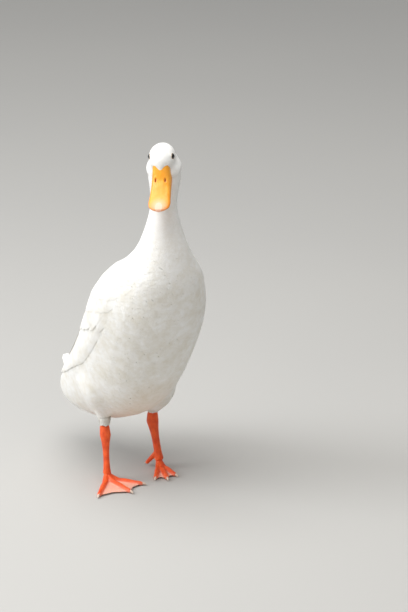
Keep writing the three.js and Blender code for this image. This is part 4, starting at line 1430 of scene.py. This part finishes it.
@lru_cache(maxsize=None)
def bill_horn():
    """Leathery bill horn: satin with a waxy glow, paler at the tip, with the nostrils' shade painted in a deep
    orange-brown.
    """
    made, tree, shader = new_material(
        "leathery_bill_horn", 0.38, 1.5,
        subsurface_weight=0.15, subsurface_scale=0.004, coat_weight=0.12, coat_roughness=0.3
    )
    shader.inputs["Subsurface Radius"].default_value = (1.0, 0.5, 0.15)
    place = add_node(tree, "TexCoord")
    nostril_shade = add_node(tree, "Attribute", attribute_name="nostril_shade")
    tip = add_node(tree, "Attribute", attribute_name="tip")
    edge = add_node(tree, "Attribute", attribute_name="edge")
    clouds = add_node(tree, "TexNoise", {"Vector": place.outputs["Object"], "Scale": 70.0, "Detail": 5.0})
    uneven = add_node(tree, "MapRange", {"Value": clouds.outputs[0], "From Min": 0.3, "From Max": 0.7})
    base = add_node(tree, "Mix", {0: uneven.outputs[0], 6: colour("bill"), 7: colour("bill_pale")}, data_type="RGBA")
    ends = add_node(tree, "Math", {0: tip.outputs["Fac"], 1: 0.85}, operation="MULTIPLY")
    tipped = add_node(tree, "Mix", {0: ends.outputs[0], 6: base.outputs[2], 7: colour("bill_tip")}, data_type="RGBA")
    rimmed = add_node(tree, "Math", {0: edge.outputs["Fac"], 1: 0.6}, operation="MULTIPLY")
    lipped = add_node(
        tree, "Mix", {0: rimmed.outputs[0], 6: tipped.outputs[2], 7: colour("bill_deep")}, data_type="RGBA"
    )
    # the nostrils' painted shade
    final = add_node(tree, "Mix", {0: nostril_shade.outputs["Fac"], 6: lipped.outputs[2], 7: colour("nostril")}, data_type="RGBA")
    tree.links.new(final.outputs[2], shader.inputs["Base Color"])
    # pores about 0.6 mm apart over soft dents
    pores = add_node(tree, "TexVoronoi", {"Vector": place.outputs["Object"], "Scale": 1600.0})
    dents = add_node(
        tree, "Math", {0: clouds.outputs[0], 1: 3.0, 2: pores.outputs["Distance"]}, operation="MULTIPLY_ADD"
    )
    bump = add_node(tree, "Bump", {"Strength": 0.18, "Distance": 0.00025, "Height": dents.outputs[0]})
    tree.links.new(bump.outputs[0], shader.inputs["Normal"])
    return made


@lru_cache(maxsize=None)
def nail_horn():
    """Hard nail horn: pale and glossy, with faint clouds."""
    made, tree, shader = new_material("pale_nail_horn", 0.28, 1.54, coat_weight=0.15, coat_roughness=0.2)
    grained(tree, shader, ("nail", "bill_tip"), 260.0, 3.0, 0.2, 0.2)  # clouds of 4 mm
    return made


@lru_cache(maxsize=None)
def claw_horn():
    """Worn claw horn: pale and semi-matt, with darker worn patches."""
    made, tree, shader = new_material("worn_claw_horn", 0.42, 1.54)
    grained(tree, shader, ("claw", "claw_dark"), 500.0, 4.0, 0.3, 0.2)  # worn patches of 2 mm
    return made


@lru_cache(maxsize=None)
def wet_eye():
    """A wet cornea over a dark brown iris and black pupil: very smooth, with small sharp highlights."""
    made, tree, shader = new_material("wet_cornea", 0.06, 1.38, coat_weight=1.0, coat_roughness=0.03)
    place = add_node(tree, "TexCoord")
    angle = add_node(tree, "Attribute", attribute_name="angle")
    flecks = add_node(tree, "TexNoise", {"Vector": place.outputs["Object"], "Scale": 1800.0, "Detail": 3.0})
    iris = add_node(tree, "Mix", {0: flecks.outputs[0], 6: colour("iris"), 7: colour("iris_light")}, data_type="RGBA")
    pupil = add_node(tree, "MapRange", {"Value": angle.outputs["Fac"], "From Min": 0.56, "From Max": 0.52})
    seen = add_node(tree, "Mix", {0: pupil.outputs[0], 6: iris.outputs[2], 7: colour("pupil")}, data_type="RGBA")
    outer = add_node(tree, "MapRange", {"Value": angle.outputs["Fac"], "From Min": 0.8, "From Max": 0.95})
    final = add_node(tree, "Mix", {0: outer.outputs[0], 6: seen.outputs[2], 7: colour("pupil")}, data_type="RGBA")
    tree.links.new(final.outputs[2], shader.inputs["Base Color"])
    return made


@lru_cache(maxsize=None)
def floor_paint():
    """Pale matt floor paint."""
    made, tree, shader = new_material("matt_floor_paint", 0.9, 1.45, specular_ior_level=0.2)
    place = add_node(tree, "TexCoord")
    cloud = add_node(tree, "TexNoise", {"Vector": place.outputs["Object"], "Scale": 1.5, "Detail": 2.0})
    share = add_node(tree, "Math", {0: cloud.outputs[0], 1: 0.1}, operation="MULTIPLY")
    mixed = add_node(tree, "Mix", {0: share.outputs[0], 6: colour("floor"), 7: colour("cream_and_shade")}, data_type="RGBA")
    tree.links.new(mixed.outputs[2], shader.inputs["Base Color"])
    return made


# ---------------------------------------------------------------- the stage

VIEW_BACK = Vector((-0.46985, -0.81380, 0.34202))  # from the duck to the camera
VIEW_RIGHT = Vector((0.86603, -0.5, 0))
VIEW_UP = Vector((0.17101, 0.29620, 0.93969))
CAMERA = {"away": 4300, "right": 100.8, "up": 246.5, "lens": 174.44}
AIM = Vector((4, -16.577, 0))  # the point on the floor that the camera's offsets are from


def area_light(name, place, aim, size, power, tone):
    """A soft round light at a place, turned to a point."""
    lamp = bpy.data.lights.new(name, "AREA")
    lamp.shape, lamp.size, lamp.energy, lamp.color = "DISK", size, power, tone[:3]
    thing = bpy.data.objects.new(name, lamp)
    bpy.context.scene.collection.objects.link(thing)
    thing.location = place
    thing.rotation_euler = (Vector(place) - Vector(aim)).to_track_quat("Z", "Y").to_euler()


def build_stage():
    """The floor, soft overhead light and the camera."""
    scene = bpy.context.scene
    shape = bmesh.new()
    bmesh.ops.create_grid(shape, x_segments=8, y_segments=8, size=14)
    for vert in shape.verts:
        vert.co.z = -0.0002
    mesh = as_mesh(shape, "floor")
    mesh.materials.append(floor_paint())
    floor = bpy.data.objects.new("floor", mesh)
    scene.collection.objects.link(floor)
    settings = scene.duck_sizes
    area_light("overhead", (-0.7, -0.1, 2.7), (0, 0, 0.3), 3.0, 80 * settings.light, linear("#FFFFFF"))
    area_light("left_back", (-2.4, 0.9, 1.7), (0, 0, 0.3), 1.6, 52 * settings.light, linear("#F6FAFF"))
    area_light("front", (-0.6, -3.2, 1.9), (0, 0, 0.3), 2.2, 5 * settings.light, linear("#FFF6EC"))
    world = bpy.data.worlds.new("pale_room")
    world.use_nodes = True
    backdrop = world.node_tree.nodes["Background"]
    backdrop.inputs["Color"].default_value = colour("room")
    backdrop.inputs["Strength"].default_value = 0.44 * settings.light
    scene.world = world
    scene.view_settings.view_transform = "Standard"
    lens = bpy.data.cameras.new("camera")
    lens.lens, lens.sensor_width, lens.sensor_fit = CAMERA["lens"], 36, "AUTO"
    lens.clip_start, lens.clip_end = 0.05, 60
    camera = bpy.data.objects.new("camera", lens)
    scene.collection.objects.link(camera)
    place = VIEW_BACK * CAMERA["away"] + VIEW_RIGHT * CAMERA["right"] + VIEW_UP * CAMERA["up"] + AIM
    camera.location = place * MM
    camera.rotation_euler = VIEW_BACK.to_track_quat("Z", "Y").to_euler()
    scene.camera = camera


# ---------------------------------------------------------------- what a user can change


def shade(name, tells, hex_colour):
    """A colour setting with its default."""
    return bpy.props.FloatVectorProperty(
        name=name, description=tells, default=linear(hex_colour), size=4, subtype="COLOR", min=0, max=1
    )


class DuckSizes(bpy.types.PropertyGroup):
    """Sizes that can be changed before the pieces are made."""

    feather_length: bpy.props.FloatProperty(
        name="Feather length", description="Length of a small feather over the gap between tips", default=4.6, min=2,
        max=7
    )
    feather_width: bpy.props.FloatProperty(
        name="Feather width", description="Width of a small feather over the gap between tips", default=2.7, min=1,
        max=4
    )
    ruffle: bpy.props.FloatProperty(
        name="Ruffle", description="How far feathers stray from the lie of the coat", default=math.radians(6), min=0,
        max=0.6, subtype="ANGLE"
    )
    light: bpy.props.FloatProperty(
        name="Light", description="Strength of all the lights", default=1.0, min=0, max=5, subtype="FACTOR"
    )


class DuckColours(bpy.types.PropertyGroup):
    """Colours of the finishes."""

    plumage: shade("Plumage", "White of the feathers", "#F7F6F3")
    # cream tone of single feathers, the down and the floor, and also the colour of the plumage's painted shade
    cream_and_shade: shade("Cream", "Shaded white between feathers", "#E6E1D5")
    # warm tint low on the belly: partly a stain, partly painted orange light thrown up from the legs
    stain_and_bounce_light: shade("Stain", "Warm tint low on the belly", "#E2C09A")
    bill: shade("Bill", "Main colour of the bill", "#F29A10")
    bill_pale: shade("Pale bill", "Paler clouds on the bill", "#FFB23A")
    bill_deep: shade("Deep bill", "Edges of the bill", "#DE7A1E")
    bill_tip: shade("Bill tip", "Round the nail", "#F1BF9C")
    # painted shade inside the nostrils
    nostril: shade("Nostril", "Inside the nostrils", "#A84A12")
    nail: shade("Nail", "The nail at the bill's tip", "#EEBCA2")
    leg: shade("Leg", "Main colour of the legs", "#FF6A2A")
    leg_deep: shade("Deep leg", "Grooves and shaded skin of the legs", "#E34A14")
    web: shade("Web", "Stretched skin between the toes", "#FFC0A8")
    claw: shade("Claw", "Claws", "#EBD9C8")
    claw_dark: shade("Dark claw", "Worn ends of the claws", "#B89A84")
    lid: shade("Lid", "Bare skin round the eyes", "#E9D9BE")
    lid_deep: shade("Deep lid", "Creases of the lids", "#C9A98A")
    iris: shade("Iris", "Main colour of the iris", "#15100E")
    iris_light: shade("Light iris", "Flecks in the iris", "#241A14")
    pupil: shade("Pupil", "Pupil and the eye's edge", "#050506")
    floor: shade("Floor", "The floor", "#B7B5B1")
    room: shade("Room", "Light of the room", "#F4F6F8")


class DUCK_OT_skin(bpy.types.Operator):
    """Makes the skin, bare on the legs, feet and eyelids"""

    bl_idname = "duck.skin"
    bl_label = "Skin"

    def execute(self, context):
        build_skin()
        return {"FINISHED"}


class DUCK_OT_coat(bpy.types.Operator):
    """Lays the small feathers over the skin"""

    bl_idname = "duck.coat"
    bl_label = "Small feathers"

    def execute(self, context):
        build_coat()
        return {"FINISHED"}


class DUCK_OT_wing_feathers(bpy.types.Operator):
    """Lays the long feathers of the folded wings"""

    bl_idname = "duck.wing_feathers"
    bl_label = "Wing feathers"

    def execute(self, context):
        build_wing_feathers()
        build_primaries()
        return {"FINISHED"}


class DUCK_OT_tail(bpy.types.Operator):
    """Makes the tail's fan"""

    bl_idname = "duck.tail"
    bl_label = "Tail"

    def execute(self, context):
        build_tail()
        return {"FINISHED"}


class DUCK_OT_bill(bpy.types.Operator):
    """Makes both halves of the bill and its nail"""

    bl_idname = "duck.bill"
    bl_label = "Bill"

    def execute(self, context):
        build_bill()
        return {"FINISHED"}


class DUCK_OT_eyes(bpy.types.Operator):
    """Makes the eyeballs"""

    bl_idname = "duck.eyes"
    bl_label = "Eyes"

    def execute(self, context):
        build_eyes()
        return {"FINISHED"}


class DUCK_OT_claws(bpy.types.Operator):
    """Makes the claws of both feet"""

    bl_idname = "duck.claws"
    bl_label = "Claws"

    def execute(self, context):
        build_claws()
        return {"FINISHED"}


class DUCK_OT_stage(bpy.types.Operator):
    """Makes the floor, the lights and the camera"""

    bl_idname = "duck.stage"
    bl_label = "Stage"

    def execute(self, context):
        build_stage()
        return {"FINISHED"}


PIECES = (
    DUCK_OT_skin, DUCK_OT_coat, DUCK_OT_wing_feathers, DUCK_OT_tail, DUCK_OT_bill, DUCK_OT_eyes, DUCK_OT_claws,
    DUCK_OT_stage
)


class DUCK_PT_panel(bpy.types.Panel):
    """Sizes, colours and the pieces to make"""

    bl_idname = "DUCK_PT_panel"
    bl_label = "White duck"
    bl_space_type = "VIEW_3D"
    bl_region_type = "UI"
    bl_category = "Duck"

    def draw(self, context):
        for group in (context.scene.duck_sizes, context.scene.duck_colours):
            column = self.layout.column(align=True)
            for name in group.__annotations__:
                column.prop(group, name)
        column = self.layout.column(align=True)
        for piece in PIECES:
            column.operator(piece.bl_idname)


CLASSES = (DuckSizes, DuckColours, *PIECES, DUCK_PT_panel)


def register():
    """Adds the classes and the scene's settings."""
    for made in CLASSES:
        bpy.utils.register_class(made)
    bpy.types.Scene.duck_sizes = bpy.props.PointerProperty(type=DuckSizes)
    bpy.types.Scene.duck_colours = bpy.props.PointerProperty(type=DuckColours)


def unregister():
    """Takes away what register adds."""
    del bpy.types.Scene.duck_colours
    del bpy.types.Scene.duck_sizes
    for made in reversed(CLASSES):
        bpy.utils.unregister_class(made)


def main():
    """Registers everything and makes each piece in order."""
    register()
    bpy.ops.duck.stage()
    bpy.ops.duck.skin()
    bpy.ops.duck.coat()
    bpy.ops.duck.wing_feathers()
    bpy.ops.duck.tail()
    bpy.ops.duck.bill()
    bpy.ops.duck.eyes()
    bpy.ops.duck.claws()


if __name__ == "__main__":
    main()
